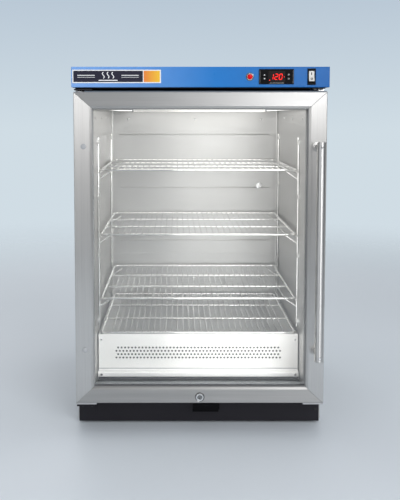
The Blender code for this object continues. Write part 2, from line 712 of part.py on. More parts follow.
# ---- inside the cabinet ----
def shelf(name, level):
    """Wire shelf: a bent rim, two cross rails under the wires, and the front-to-back wires."""
    inset = RAIL_HALF
    x, front, back = SHELF_HALF - inset, SHELF_FRONT + inset, SHELF_BACK - inset
    bm = bmesh.new()
    path = ((-x, front, level), (x, front, level), (x, back, level), (-x, back, level))
    add_tube(bm, path, RAIL_HALF * math.sqrt(2.0), 4, (0, 0, 1), closed=True)
    obj = finish(name, bm, CHROME, 1.0, 0.25)
    wires = bmesh.new()
    for y in (0.0025, 0.1395):
        add_box(wires, (-x - 0.001, y - 0.0014, level - 0.0026), (x + 0.001, y + 0.0014, level - 0.0002))
    for i in range(WIRE_COUNT):
        wx = (i - (WIRE_COUNT - 1) / 2) * WIRE_PITCH
        add_box(wires, (wx - 0.0011, front, level + 0.0003), (wx + 0.0011, back, level + 0.0025))
    boolean(obj, "join_wires_" + name, wires, "UNION")


def shelf_rack(name, side):
    """Wall rack: two uprights, a rail and two struts for each of the three shelves."""
    bm = bmesh.new()
    stations = (-0.114, 0.250)
    for y in stations:
        low, high = sorted((side * 0.2512, side * 0.2567))
        add_box(bm, (low, y - 0.00275, 0.215), (high, y + 0.00275, 0.700))
    obj = finish(name, bm, CHROME, 1.0, 0.3)
    arms = bmesh.new()
    for level in SHELF_LEVELS:
        low, high = sorted((side * 0.2466, side * 0.2520))
        add_box(arms, (low, -0.128, level - 0.0082), (high, 0.266, level - RAIL_HALF - GAP))
        for y in stations:
            start = (side * 0.2535, y, level - 0.0250)
            end = (side * 0.2240, y, level - 0.0058)
            add_tube(arms, (start, end), 0.0019, 6, (0, 1, 0))
    boolean(obj, "join_arms_" + name, arms, "UNION")


def heater_cover():
    """Folded and perforated guard over the heater, with a foot flange along the front."""
    bm = bmesh.new()
    floor = LINER_LOW + GAP
    outline = (
        (0.285, COVER_TOP), (SHELF_FRONT, COVER_TOP), (SHELF_FRONT, 0.107), (-0.150, 0.107),
        (-0.150, floor), (-0.150 + SHEET, floor), (-0.150 + SHEET, 0.107 - SHEET),
        (SHELF_FRONT + SHEET, 0.107 - SHEET), (SHELF_FRONT + SHEET, COVER_TOP - SHEET), (0.285, COVER_TOP - SHEET),
    )
    add_prism(bm, outline, 0, -COVER_HALF, COVER_HALF)
    obj = finish("heater_cover", bm, STEEL, 1.0, 0.3)
    slots = bmesh.new()
    for i in range(8):
        x = -0.212 + 0.0545 * i
        for z in (0.138, 0.152, 0.166):
            add_box(slots, (x, -0.140, z), (x + 0.043, -0.120, z + 0.005))
    for i in range(6):
        x = -0.212 + 0.0730 * i
        for y in (-0.095, -0.060, 0.000, 0.055, 0.110, 0.165, 0.220):
            add_box(slots, (x, y, 0.190), (x + 0.060, y + 0.006, 0.210))
    boolean(obj, "cut_cover_slots", slots, "DIFFERENCE")


def heating_element():
    """Sheathed rod bent into a flat loop, with both ends through the rear wall."""
    z, end = 0.130, LINER_BACK - GAP
    bm = bmesh.new()
    path = (
        (-0.190, end, z), (-0.190, -0.070, z), (-0.170, -0.090, z), (-0.120, -0.090, z), (-0.100, -0.070, z),
        (-0.100, 0.040, z), (-0.080, 0.060, z), (0.080, 0.060, z), (0.100, 0.040, z), (0.100, -0.070, z),
        (0.120, -0.090, z), (0.170, -0.090, z), (0.190, -0.070, z), (0.190, end, z),
    )
    add_tube(bm, path, 0.004, 8, (0, 0, 1))
    finish("heating_element", bm, (0.30, 0.28, 0.27), 1.0, 0.45)


def circulation_fan():
    """Square fan under the guard: frame with motor spider and shaft, and a seven-blade rotor."""
    top = COVER_TOP - SHEET - GAP
    low = top - 0.025
    bm = bmesh.new()
    add_box(bm, (-FAN_HALF, FAN_Y - FAN_HALF, low), (FAN_HALF, FAN_Y + FAN_HALF, top))
    obj = finish("fan_frame", bm, BLACK, 0.0, 0.5)
    bore = bmesh.new()
    add_rod(bore, (0.0, FAN_Y, low - 0.005), 2, 0.0382, 0.035, 28)
    boolean(obj, "cut_fan_bore", bore, "DIFFERENCE")
    arms = bmesh.new()
    add_box(arms, (-0.0390, FAN_Y - 0.002, low + 0.0002), (0.0390, FAN_Y + 0.002, low + 0.003))
    boolean(obj, "join_fan_arm", arms, "UNION")
    arms = bmesh.new()
    add_box(arms, (-0.002, FAN_Y - 0.0390, low + 0.0004), (0.002, FAN_Y + 0.0390, low + 0.0028))
    boolean(obj, "join_fan_cross", arms, "UNION")
    motor = bmesh.new()
    profile = ((0.0, low), (0.015, low), (0.015, low + 0.005), (0.002, low + 0.005),
               (0.002, low + 0.016), (0.0, low + 0.016))
    add_lathe(motor, profile, (0.0, FAN_Y, 0.0), 2, 16)
    boolean(obj, "join_fan_motor", motor, "UNION")
    bm = bmesh.new()
    base = low + 0.006
    profile = (
        (0.0, base + 0.012), (0.00206, base + 0.012), (0.00206, base), (0.015, base),
        (0.016, base + 0.001), (0.016, base + 0.0155), (0.014, base + 0.017), (0.0, base + 0.017),
    )
    add_lathe(bm, profile, (0.0, FAN_Y, 0.0), 2, 21)
    obj = finish("fan_rotor", bm, BLACK, 0.0, 0.45)
    blades = bmesh.new()
    for i in range(7):
        turn = Matrix.Rotation(2.0 * math.pi * i / 7, 3, "Z")
        pitch = Matrix.Rotation(math.radians(38.0), 3, "X")
        verts_before = len(blades.verts)
        add_box(blades, (0.0145, -0.0085, -0.0007), (0.0360, 0.0085, 0.0007))
        blades.verts.ensure_lookup_table()
        for v in blades.verts[verts_before:]:
            v.co = turn @ (pitch @ v.co) + Vector((0.0, FAN_Y, base + 0.0085))
    boolean(obj, "join_fan_blades", blades, "UNION")


def temperature_sensor():
    bm = bmesh.new()
    profile = ((0.0, 0.0), (0.009, 0.0), (0.009, -0.003), (0.003, -0.004), (0.003, -0.044), (0.0, -0.046))
    add_lathe(bm, profile, (0.200, LINER_BACK - GAP, 0.540), 1, 12)
    finish("temperature_sensor", bm, CHROME, 1.0, 0.3)


def interior_lamp():
    """Light strip under the liner roof, just behind the door opening."""
    bm = bmesh.new()
    top = LINER_HIGH - GAP
    outline = ((-0.192, top), (-0.192, top - 0.006), (-0.186, top - 0.012), (-0.166, top - 0.012), (-0.160, top))
    add_prism(bm, outline, 0, -0.160, 0.160)
    finish("interior_lamp", bm, (0.95, 0.95, 0.92), 0.0, 0.4)


def assembly(name, place, pieces, parent):
    """An empty on the joint's axis that carries the pieces which move together."""
    empty = bpy.data.objects.new(name, None)
    empty.empty_display_size = 0.03
    bpy.context.scene.collection.objects.link(empty)
    if parent is not None:
        empty.parent = parent
        place = Vector(place) - parent.location
    empty.location = place
    bpy.context.view_layer.update()
    for piece in pieces:
        obj = bpy.data.objects[piece]
        obj.parent = empty
        obj.matrix_parent_inverse = empty.matrix_world.inverted()
        for mod in obj.modifiers:
            mod.object.parent = empty
            mod.object.matrix_parent_inverse = empty.matrix_world.inverted()
    return empty


def assemble():
    """Hang every piece on the assembly it belongs to."""
    root = assembly("cabinet", (0.0, 0.0, 0.0), (), None)
    door = assembly("door", (HINGE_X, HINGE_Y, (DOOR_LOW + DOOR_HIGH) / 2), DOOR_PIECES, root)
    assembly("lock", LOCK_AXIS, ("lock_plug",), door)
    assembly("rocker", ROCKER_PIVOT, ("rocker_paddle",), root)
    assembly("fan", FAN_AXIS, ("fan_rotor",), root)
    for name, (x, z) in KEYS.items():
        assembly(name + "_slide", (x, FACE_Y, z), (name,), root)
    for label, level in zip(("upper", "middle", "lower"), SHELF_LEVELS):
        assembly(label + "_shelf_slide", (0.0, SHELF_FRONT, level), ("shelf_" + label,), root)
    assembly("bottom_rack_slide", (0.0, SHELF_FRONT, BOTTOM_RACK_Z), ("bottom_rack",), root)
    for name, (x, y) in FEET.items():
        assembly("foot_height_" + name, (x, y, FLOOR), ("foot_" + name,), root)
    for obj in list(bpy.data.objects):
        if obj.type == "MESH" and obj.parent is None:
            obj.parent = root


def build():
    clear_scene()
    side_panel("left_side_panel", -1)
    side_panel("right_side_panel", 1)
    rear_panel()
    base_frame()
    kick_plate()
    for name, (x, y) in FEET.items():
        levelling_foot(name, x, y)
    inner_liner()
    insulation()
    breaker_frame()
    top_cover()
    control_fascia()
    nameplate()
    pilot_lamp()
    controller()
    rocker_switch()
    power_inlet()
    door_frame()
    door_glazing()
    door_gasket()
    handle()
    plug_caps()
    door_lock()
    lock_strike()
    hinges()
    for label, level in zip(("upper", "middle", "lower"), SHELF_LEVELS):
        shelf("shelf_" + label, level)
    shelf("bottom_rack", BOTTOM_RACK_Z)
    shelf_rack("left_shelf_rack", -1)
    shelf_rack("right_shelf_rack", 1)
    heater_cover()
    heating_element()
    circulation_fan()
    temperature_sensor()
    interior_lamp()
    assemble()


build()
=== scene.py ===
"""Looks of the undercounter hot towel cabinet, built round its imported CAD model.

X runs to the right of someone facing the door, the door faces -Y, Z is up and the floor is at 0.
"""

import math

import bmesh
import bpy
from mathutils import Matrix, Vector


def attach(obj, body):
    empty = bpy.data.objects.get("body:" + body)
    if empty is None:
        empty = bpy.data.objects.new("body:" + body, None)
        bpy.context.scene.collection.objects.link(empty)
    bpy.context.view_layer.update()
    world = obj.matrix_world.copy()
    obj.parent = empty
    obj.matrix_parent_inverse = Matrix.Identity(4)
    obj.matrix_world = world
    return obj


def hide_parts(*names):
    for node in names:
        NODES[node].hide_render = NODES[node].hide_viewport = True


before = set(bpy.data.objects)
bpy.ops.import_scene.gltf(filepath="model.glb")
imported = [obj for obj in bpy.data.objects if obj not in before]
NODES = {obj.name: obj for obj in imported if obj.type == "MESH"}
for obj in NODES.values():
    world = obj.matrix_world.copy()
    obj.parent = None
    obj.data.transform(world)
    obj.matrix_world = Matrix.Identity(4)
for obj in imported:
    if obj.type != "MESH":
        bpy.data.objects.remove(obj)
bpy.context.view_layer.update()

# ---- places taken from the CAD model ----
FACE_Y = -0.264
REAR_Y = 0.3212
INLET_REAR_Y = 0.3240
LID_TOP = 0.870
SIDE_X = 0.2975
KICK_FRONT = -0.2133
BRACKET_FRONT = -0.2158
PANE_HALF = 0.2535
PANE_LOW = 0.1095
PANE_HIGH = 0.774
OUTER_GLASS_Y = -0.2567
LINER_HALF = 0.257
LINER_LOW = 0.088
LINER_HIGH = 0.778
LINER_BACK = 0.290

SHELF_HALF = 0.249
SHELF_FRONT = -0.134
SHELF_BACK = 0.276
SHELF_LEVELS = {
    "shelf_upper": 0.620, "shelf_middle": 0.456,
    "shelf_lower": 0.292, "bottom_rack": 0.203,
}
SHELF_BODIES = {
    "shelf_upper": "upper_shelf", "shelf_middle": "middle_shelf",
    "shelf_lower": "lower_shelf", "bottom_rack": "base_rack",
}
RIM_R = 0.00275
WIRE_R = 0.0012
CROSS_R = 0.0022
WIRE_COUNT = 30
WIRE_PITCH = 0.0151
CROSS_RAILS = (0.0025, 0.1395)
RACK_STATIONS = (-0.114, 0.250)

COVER_HALF = 0.2545
COVER_TOP = 0.200
COVER_FOLD = 0.107
COVER_SHEET = 0.0012

HANDLE_X = 0.273
HANDLE_POSTS = (0.201, 0.685)
HANDLE_FRONT = -0.3240
LOCK_LEVEL = 0.086

NAMEPLATE_FRONT = -0.2655
NAMEPLATE_LOW = 0.8345
NAMEPLATE_HIGH = 0.8605
PANEL_LEFT = -0.1315
PANEL_RIGHT = -0.0940
CONTROLLER_FRONT = -0.2675
WINDOW_FRONT = -0.2673
KEY_FRONT = -0.2686
KEYS = {
    "up": (0.148, 0.8508), "down": (0.148, 0.8420),
    "mode": (0.204, 0.8515), "set": (0.204, 0.8420),
}
PILOT_LAMP = (0.1144, FACE_Y, 0.8468)
ROCKER_PIVOT = Vector((0.2575, -0.2605, 0.8469))
ROCKER_TILT = math.radians(-10.0)

WHITE = (1.0, 1.0, 1.0)
NOISE_RANGE = (0.3, 0.7)

# ---- finishing of meshes ----
SHARP_ANGLE = math.radians(38.0)
BEVEL_ANGLE = math.radians(35.0)
BEVEL_SEGMENTS = 2
WELD_DISTANCE = 0.00001
NORMAL_WEIGHT = 60

# ---- stage, camera and lights ----
FLOOR_HALF = 14.0
FLOOR_FADE = (1.0, 3.4)
FLOOR_COLOURS = ((0.3, (0.64, 0.70, 0.75)), (0.7, (0.68, 0.73, 0.78)))
# stops from the lowest to the highest of the sky's heights: what the camera sees, and the rest
SKY_HEIGHTS = (-0.4, 0.6)
SEEN_SKY = ((0.0, (0.64, 0.72, 0.78)), (0.38, (0.63, 0.72, 0.78)), (0.60, (0.45, 0.54, 0.64)))
LIT_SKY = ((0.0, (0.36, 0.37, 0.38)), (0.40, (0.52, 0.53, 0.54)), (1.0, (0.48, 0.49, 0.51)))
# how far sideways the light starts and stops falling off, and what is left of it there
FLAG_EDGE = (0.70, 0.92)
FLAG_DARK = 0.20

CAMERA_PLACE = (-0.056, FACE_Y - 1.70, 0.76)
CAMERA_PITCH = math.radians(90.0 - 3.9)
CAMERA_LENS = 52.5
CAMERA_SENSOR = 36.0
CAMERA_SHIFT = (0.0474, -0.172)

# name: place, target, size, watts, colour
LIGHTS = {
    "key": ((1.15, -2.75, 1.50), (0.1, -0.2, 0.5), (1.6, 1.5), 48.0, WHITE),
    "fill": ((-1.9, -2.0, 1.1), (0.0, -0.1, 0.45), (1.4, 1.6), 7.0, WHITE),
    "overhead": ((0.2, 0.4, 2.6), (0.0, 0.0, 0.5), (1.8, 1.8), 13.0, WHITE),
    "rear_wash": ((-0.8, 2.6, 1.6), (0.0, 0.2, 0.45), (1.6, 1.6), 13.0, WHITE),
    "interior": ((0.0, 0.03, 0.77), (0.0, 0.0301, 0.2), (0.44, 0.40), 1.2, (1.0, 0.98, 0.95)),
    "doorway": ((0.09, -0.2155, 0.44), (0.09, 0.2, 0.44), (0.31, 0.66), 0.7, (1.0, 0.985, 0.96)),
}


# ---- mesh helpers ----
def rounded(points, radius, steps, closed=False):
    """The path with each of its corners turned into a smooth bend."""
    count, out = len(points), []
    for i in range(count):
        p = Vector(points[i])
        if not closed and i in (0, count - 1):
            out.append(p)
            continue
        a, b = Vector(points[i - 1]) - p, Vector(points[(i + 1) % count]) - p
        reach = min(radius, a.length * 0.48, b.length * 0.48)
        start, end = p + a.normalized() * reach, p + b.normalized() * reach
        for k in range(steps + 1):
            t = k / steps
            out.append(start.lerp(p, t).lerp(p.lerp(end, t), t))
    return out


def sweep(bm, path, radius, sides, up=(0, 0, 1), closed=False, dome=False):
    """A round bar along a path; up is never along the path."""
    path = [Vector(p) for p in path]
    up, count, rings = Vector(up), len(path), []
    for i, p in enumerate(path):
        before = p - path[i - 1] if (i or closed) else path[1] - p
        after = path[(i + 1) % count] - p if (i < count - 1 or closed) else before
        along = (before.normalized() + after.normalized()).normalized()
        side = along.cross(up).normalized()
        top = side.cross(along)
        levels = [(0.0, 1.0)]
        if dome and not closed and i == 0:
            levels = [(-0.75, 0.45), (-0.45, 0.85), (0.0, 1.0)]
        elif dome and not closed and i == count - 1:
            levels = [(0.0, 1.0), (0.45, 0.85), (0.75, 0.45)]
        for shift, size in levels:
            ring = []
            for s in range(sides):
                angle = 2.0 * math.pi * (s + 0.5) / sides
                off = (side * math.cos(angle) + top * math.sin(angle)) * radius * size
                ring.append(bm.verts.new(p + off + along * radius * shift))
            rings.append(ring)
    pairs = list(zip(rings, rings[1:])) + ([(rings[-1], rings[0])] if closed else [])
    for a, b in pairs:
        for s in range(sides):
            t = (s + 1) % sides
            bm.faces.new((a[s], a[t], b[t], b[s]))
    if not closed:
        bm.faces.new(rings[0])
        bm.faces.new(rings[-1])


def lathe(bm, profile, centre, axis, sides, closed=False, hexed=()):
    """Turn (radius, height) points about an axis; the rings listed in hexed are six-sided."""
    others = [n for n in range(3) if n != axis]
    rings = []
    for index, (radius, height) in enumerate(profile):
        ring = []
        for s in range(1 if radius == 0.0 else sides):
            angle = 2.0 * math.pi * s / sides
            reach = radius
            if index in hexed:
                reach *= math.cos(math.pi / 6) / math.cos(angle % (math.pi / 3) - math.pi / 6)
            co = list(centre)
            co[axis] += height
            co[others[0]] += reach * math.cos(angle)
            co[others[1]] += reach * math.sin(angle)
            ring.append(bm.verts.new(co))
        rings.append(ring)
    pairs = list(zip(rings, rings[1:])) + ([(rings[-1], rings[0])] if closed else [])
    for a, b in pairs:
        for s in range(sides):
            t = (s + 1) % sides
            loop = [a[s % len(a)], a[t % len(a)], b[t % len(b)], b[s % len(b)]]
            face = [v for i, v in enumerate(loop) if v not in loop[:i]]
            if len(face) > 2:
                bm.faces.new(face)
    if not closed:
        for ring in (rings[0], rings[-1]):
            if len(ring) > 1:
                bm.faces.new(ring)


def prism(bm, outline, axis, low, high):
    """Extrude an outline in the two other axes, in X, Y, Z order, along the given one."""
    others = [n for n in range(3) if n != axis]
    ends = []
    for level in (low, high):
        ring = []
        for p in outline:
            co = [0.0, 0.0, 0.0]
            co[axis] = level
            co[others[0]], co[others[1]] = p[0], p[1]
            ring.append(bm.verts.new(co))
        ends.append(ring)
    for i in range(len(outline)):
        j = (i + 1) % len(outline)
        bm.faces.new((ends[0][i], ends[0][j], ends[1][j], ends[1][i]))
    bm.faces.new(ends[0])
    bm.faces.new(ends[1])


def rectangle(x0, y0, x1, y1):
    """The corners of a rectangle in a plane."""
    return [(x0, y0), (x1, y0), (x1, y1), (x0, y1)]


def box(bm, low, high):
    """A block between two opposite corners."""
    prism(bm, rectangle(low[0], low[1], high[0], high[1]), 2, low[2], high[2])


def ribbon(points, width):
    """The outline of a flat strip of that width, centred on a path in a plane."""
    path = [Vector(p) for p in points]
    left, right = [], []
    for i, p in enumerate(path):
        before = p - path[i - 1] if i else path[1] - p
        after = path[i + 1] - p if i < len(path) - 1 else before
        a, b = before.normalized(), after.normalized()
        along = (a + b).normalized()
        side = Vector((-along.y, along.x)) * (width / 2 / max(0.3, along.dot(a)))
        left.append(p + side)
        right.append(p - side)
    return left + right[::-1]


def stroke(bm, points, width, back, front):
    """A flat strip drawn on the front of the cabinet, in X and Z."""
    prism(bm, ribbon(points, width), 1, front, back)


def ring_frame(bm, profile, half, low, high):
    """Run a section round a rectangle centred on X: (inset, y) points, inset measured inwards."""
    corners = ((-1, low, 1), (1, low, 1), (1, high, -1), (-1, high, -1))
    rings = []
    for side, z, up in corners:
        rings.append([bm.verts.new((side * (half - inset), y, z + up * inset))
                      for inset, y in profile])
    for k in range(4):
        a, b = rings[k], rings[(k + 1) % 4]
        for i in range(len(profile)):
            j = (i + 1) % len(profile)
            bm.faces.new((a[i], a[j], b[j], b[i]))


def perforated(bm, place, low, high, start, pitch, cells, radius, thick):
    """A flat sheet with staggered rows of eight-sided holes.

    place turns (along, across, depth) into a point; low and high are the sheet's corners,
    start is the corner of the field of holes and cells its count along and across.
    """
    verts = {}

    def at(u, v, w):
        key = (round(u, 6), round(v, 6), round(w, 6))
        if key not in verts:
            verts[key] = bm.verts.new(place(u, v, w))
        return verts[key]

    def walls(outline):
        """Join the two faces of the sheet along an outline."""
        for a, b in zip(outline, outline[1:] + outline[:1]):
            bm.faces.new((at(*a, 0.0), at(*b, 0.0), at(*b, thick), at(*a, thick)))

    pu, pv = pitch
    end = (start[0] + cells[0] * pu, start[1] + cells[1] * pv)
    rows = [(row % 2, start[1] + (row + 0.5) * pv) for row in range(cells[1])]
    centres = [[start[0] + (col + 0.5 + 0.5 * odd) * pu for col in range(cells[0] - odd)]
               for odd in (0, 1)]
    turns = [(math.cos(k * math.pi / 4), math.sin(k * math.pi / 4)) for k in range(8)]
    cell_rim = ((1, 0), (1, 1), (0, 1), (-1, 1), (-1, 0), (-1, -1), (0, -1), (1, -1))
    half_cell_rim = ((0, -1), (1, -1), (1, 0), (1, 1), (0, 1), (0, 0))
    for w in (0.0, thick):
        for odd, v in rows:
            for u in centres[odd]:
                rim = [at(u + a * pu / 2, v + b * pv / 2, w) for a, b in cell_rim]
                hole = [at(u + radius * c, v + radius * d, w) for c, d in turns]
                for k in range(8):
                    n = (k + 1) % 8
                    bm.faces.new((rim[k], rim[n], hole[n], hole[k]))
            if odd:
                for u, step in ((start[0], pu / 2), (end[0], -pu / 2)):
                    bm.faces.new([at(u + a * step, v + b * pv / 2, w) for a, b in half_cell_rim])
        along = [start[0] + k * pu / 2 for k in range(2 * cells[0] + 1)]
        across = [start[1] + k * pv / 2 for k in range(2 * cells[1] + 1)]
        for corners, inner in (
            (((low[0], low[1]), (high[0], low[1])), [(u, start[1]) for u in along[::-1]]),
            (((high[0], high[1]), (low[0], high[1])), [(u, end[1]) for u in along]),
            (((high[0], low[1]), (high[0], high[1])), [(end[0], v) for v in across[::-1]]),
            (((low[0], high[1]), (low[0], low[1])), [(start[0], v) for v in across]),
        ):
            bm.faces.new([at(*spot, w) for spot in (*corners, *inner)])
    for odd, v in rows:
        for u in centres[odd]:
            walls([(u + radius * c, v + radius * d) for c, d in turns])
    walls(rectangle(low[0], low[1], high[0], high[1]))


def piece(name, bm, body, mat, edge=0.0, replaces=(), slot=None):
    """Finish a mesh as a named piece that moves with a CAD body."""
    bmesh.ops.recalc_face_normals(bm, faces=bm.faces)
    mesh = bpy.data.meshes.new(name)
    bm.to_mesh(mesh)
    bm.free()
    mesh.shade_smooth()
    mesh.set_sharp_from_angle(angle=SHARP_ANGLE)
    mesh.materials.append(mat)
    obj = bpy.data.objects.new(name, mesh)
    bpy.context.scene.collection.objects.link(obj)
    if edge:
        soften(obj, edge, weld=False)
    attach(obj, body)
    if replaces:
        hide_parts(*replaces)


def bar_piece(name, outline, low, high, body, mat, **options):
    """A piece of one section, in Y and Z, that runs along X."""
    bm = bmesh.new()
    prism(bm, outline, 0, low, high)
    piece(name, bm, body, mat, **options)


def turned_piece(name, profile, centres, axis, sides, body, mat, closed=False, **options):
    """A piece made of the same turned shape at each centre."""
    bm = bmesh.new()
    for centre in centres:
        lathe(bm, profile, centre, axis, sides, closed=closed)
    piece(name, bm, body, mat, **options)


def soften(obj, width, weld=True):
    """Round a sheet or moulding's edges without touching its own mesh."""
    if weld:
        mod = obj.modifiers.new("weld", "WELD")
        mod.merge_threshold = WELD_DISTANCE
    mod = obj.modifiers.new("edges", "BEVEL")
    mod.width = width
    mod.segments = BEVEL_SEGMENTS
    mod.limit_method = "ANGLE"
    mod.angle_limit = BEVEL_ANGLE
    mod.harden_normals = False
    mod = obj.modifiers.new("normals", "WEIGHTED_NORMAL")
    mod.keep_sharp = True
    mod.weight = NORMAL_WEIGHT


def screw(bm, centre, axis, out, radius, height):
    """A low domed screw head with a six-sided socket; out is the side that it faces."""
    socket, rise, sunk = radius * 0.46, height * out, -0.0004 * out
    profile = (
        (0.0, rise * 0.35), (socket, rise * 0.35), (socket, rise * 0.95),
        (radius * 0.62, rise * 0.98), (radius * 0.90, rise * 0.62), (radius, rise * 0.25),
        (radius, sunk), (0.0, sunk),
    )
    lathe(bm, profile, centre, axis, 24, hexed=(1, 2))


# ---- material helpers ----
def scaled(colour, factor):
    """A colour made darker or lighter, and never brighter than white."""
    return tuple(min(1.0, c * factor) for c in colour)


def link_or_set(links, socket, value):
    """An output is linked to the socket, and a number or colour sits on it."""
    if isinstance(value, bpy.types.NodeSocket):
        links.new(value, socket)
    elif isinstance(value, tuple):
        socket.default_value = (*value, 1.0)
    else:
        socket.default_value = value


def paint_ramp(ramp, stops):
    """Give a colour ramp these (position, colour or grey) stops."""
    while len(ramp.elements) < len(stops):
        ramp.elements.new(0.5)
    for element, (position, colour) in zip(ramp.elements, stops):
        element.position = position
        colour = colour if isinstance(colour, tuple) else (colour,) * 3
        element.color = (*colour, 1.0)


def smooth_range(nodes, source, target):
    """A node that eases from one range of values to another."""
    node = nodes.new("ShaderNodeMapRange")
    node.interpolation_type = "SMOOTHSTEP"
    for socket, value in zip(("From Min", "From Max", "To Min", "To Max"), (*source, *target)):
        node.inputs[socket].default_value = value
    return node


class Shade:
    """A Principled material whose surface comes from noise in the object's own space."""

    def __init__(self, name, **values):
        self.mat = bpy.data.materials.new(name)
        self.mat.use_nodes = True
        self.nodes = self.mat.node_tree.nodes
        self.links = self.mat.node_tree.links
        self.bsdf = self.nodes["Principled BSDF"]
        self.place = self.nodes.new("ShaderNodeTexCoord").outputs["Object"]
        for key, value in values.items():
            self.set(key.replace("_", " "), value)

    def set(self, socket, value):
        """Give one of the surface's sockets an output, a number or a colour."""
        link_or_set(self.links, self.bsdf.inputs[socket], value)

    def vary(self, socket, source, value, low, high):
        """The socket runs from value times low to value times high as the source rises."""
        if isinstance(value, tuple):
            ends = (scaled(value, low), scaled(value, high))
        else:
            ends = (value * low, min(1.0, value * high))
        self.set(socket, self.ramp(source, *zip(NOISE_RANGE, ends)))

    def noise(self, stretch, detail=2.0):
        """Noise with that many features a metre along each axis, or along all of them."""
        stretch = stretch if isinstance(stretch, tuple) else (stretch,) * 3
        mapping = self.nodes.new("ShaderNodeMapping")
        mapping.inputs["Scale"].default_value = stretch
        self.links.new(self.place, mapping.inputs["Vector"])
        node = self.nodes.new("ShaderNodeTexNoise")
        node.inputs["Scale"].default_value = 1.0
        node.inputs["Detail"].default_value = detail
        self.links.new(mapping.outputs[0], node.inputs["Vector"])
        return node.outputs[0]

    def ramp(self, source, *stops):
        """A ramp through (position, colour or grey) stops."""
        node = self.nodes.new("ShaderNodeValToRGB")
        paint_ramp(node.color_ramp, stops)
        self.links.new(source, node.inputs["Fac"])
        return node.outputs["Color"]

    def blend(self, factor, a, b, mode="MIX"):
        """Two colours mixed or multiplied."""
        node = self.nodes.new("ShaderNodeMix")
        node.data_type = "RGBA"
        node.blend_type = mode
        for index, value in ((0, factor), (6, a), (7, b)):
            link_or_set(self.links, node.inputs[index], value)
        return node.outputs[2]

    def along(self, axis, low, high):
        """How far along the object's own axis a point lies, from 0 at low to 1 at high."""
        split = self.nodes.new("ShaderNodeSeparateXYZ")
        self.links.new(self.place, split.inputs[0])
        node = self.nodes.new("ShaderNodeMapRange")
        node.inputs["From Min"].default_value = low
        node.inputs["From Max"].default_value = high
        self.links.new(split.outputs[axis], node.inputs["Value"])
        return node.outputs["Result"]

    def bump(self, height, strength, distance=0.0002):
        """Relief of that depth in metres, scaled by the strength."""
        node = self.nodes.new("ShaderNodeBump")
        node.inputs["Strength"].default_value = strength
        node.inputs["Distance"].default_value = distance
        self.links.new(height, node.inputs["Height"])
        self.links.new(node.outputs["Normal"], self.bsdf.inputs["Normal"])

    def spread(self, direction):
        """Gloss is stretched along this direction of the object."""
        vector = self.nodes.new("ShaderNodeCombineXYZ")
        for index in range(3):
            vector.inputs[index].default_value = direction[index]
        turn = self.nodes.new("ShaderNodeVectorTransform")
        turn.vector_type = "VECTOR"
        turn.convert_from = "OBJECT"
        turn.convert_to = "WORLD"
        self.links.new(vector.outputs[0], turn.inputs[0])
        self.links.new(turn.outputs[0], self.bsdf.inputs["Tangent"])


def brushed(name, grain, tone, rough, spread, tint=WHITE, metal=1.0, across=None, contrast=1.0):
    """Brushed stainless sheet; grain is the axis that the scratches run along."""
    s = Shade(name, Metallic=metal, Anisotropic=spread)
    fine, wide = [900.0] * 3, [170.0] * 3
    fine[grain], wide[grain] = 9.0, 2.0
    lines = s.blend(0.45, s.noise(tuple(fine)), s.noise(tuple(wide), 3.0))
    cloud = s.noise(5.0)
    dark, light = tone * (1.0 - 0.09 * contrast), tone * (1.0 + 0.07 * contrast)
    colour = s.ramp(lines, (0.30, scaled(tint, dark)), (0.70, scaled(tint, light)))
    marks = s.ramp(cloud, (0.35, 0.95), (0.65, 1.0))
    s.set("Base Color", s.blend(1.0, colour, marks, "MULTIPLY"))
    s.vary("Roughness", lines, rough, 1.0 - 0.15 * contrast, 1.0 + 0.2 * contrast)
    s.bump(lines, 0.08 * contrast, 0.0001)
    s.spread(across or ((1.0, 0.02, 0.03) if grain == 2 else (0.03, 0.02, 1.0)))
    return s.mat


def moulded(name, colour, rough, grain=700.0, strength=0.12, **values):
    """Moulded plastic or powder coat with a fine grain."""
    s = Shade(name, **values)
    fine = s.noise(grain)
    cloud = s.noise(9.0, 3.0)
    s.vary("Base Color", s.blend(0.5, fine, cloud), colour, 0.86, 1.14)
    s.vary("Roughness", cloud, rough, 0.9, 1.12)
    s.bump(fine, strength)
    return s.mat


def plated(name, tone, rough, tint=WHITE, metal=1.0):
    """Bright plated wire or turned metal, faintly mottled."""
    s = Shade(name, Metallic=metal)
    cloud = s.noise(60.0, 3.0)
    s.vary("Base Color", cloud, tint, tone * 0.93, tone * 1.03)
    s.vary("Roughness", cloud, rough, 0.8, 1.3)
    s.bump(s.noise(400.0), 0.03, 0.0001)
    return s.mat


def clear_glass(name, tint):
    """Float glass that lets light through to what stands behind it."""
    s = Shade(name, Transmission_Weight=1.0, IOR=1.45, Specular_IOR_Level=0.25)
    smear = s.noise((7.0, 7.0, 4.0), 3.0)
    s.vary("Base Color", smear, tint, 0.985, 1.0)
    s.set("Roughness", s.ramp(smear, (0.45, 0.0), (0.75, 0.012)))
    out = s.nodes["Material Output"]
    clear = s.nodes.new("ShaderNodeBsdfTransparent")
    clear.inputs["Color"].default_value = (0.98, 0.985, 0.985, 1.0)
    path = s.nodes.new("ShaderNodeLightPath")
    mix = s.nodes.new("ShaderNodeMixShader")
    s.links.new(path.outputs["Is Shadow Ray"], mix.inputs[0])
    s.links.new(s.bsdf.outputs[0], mix.inputs[1])
    s.links.new(clear.outputs[0], mix.inputs[2])
    s.links.new(mix.outputs[0], out.inputs["Surface"])
    return s.mat


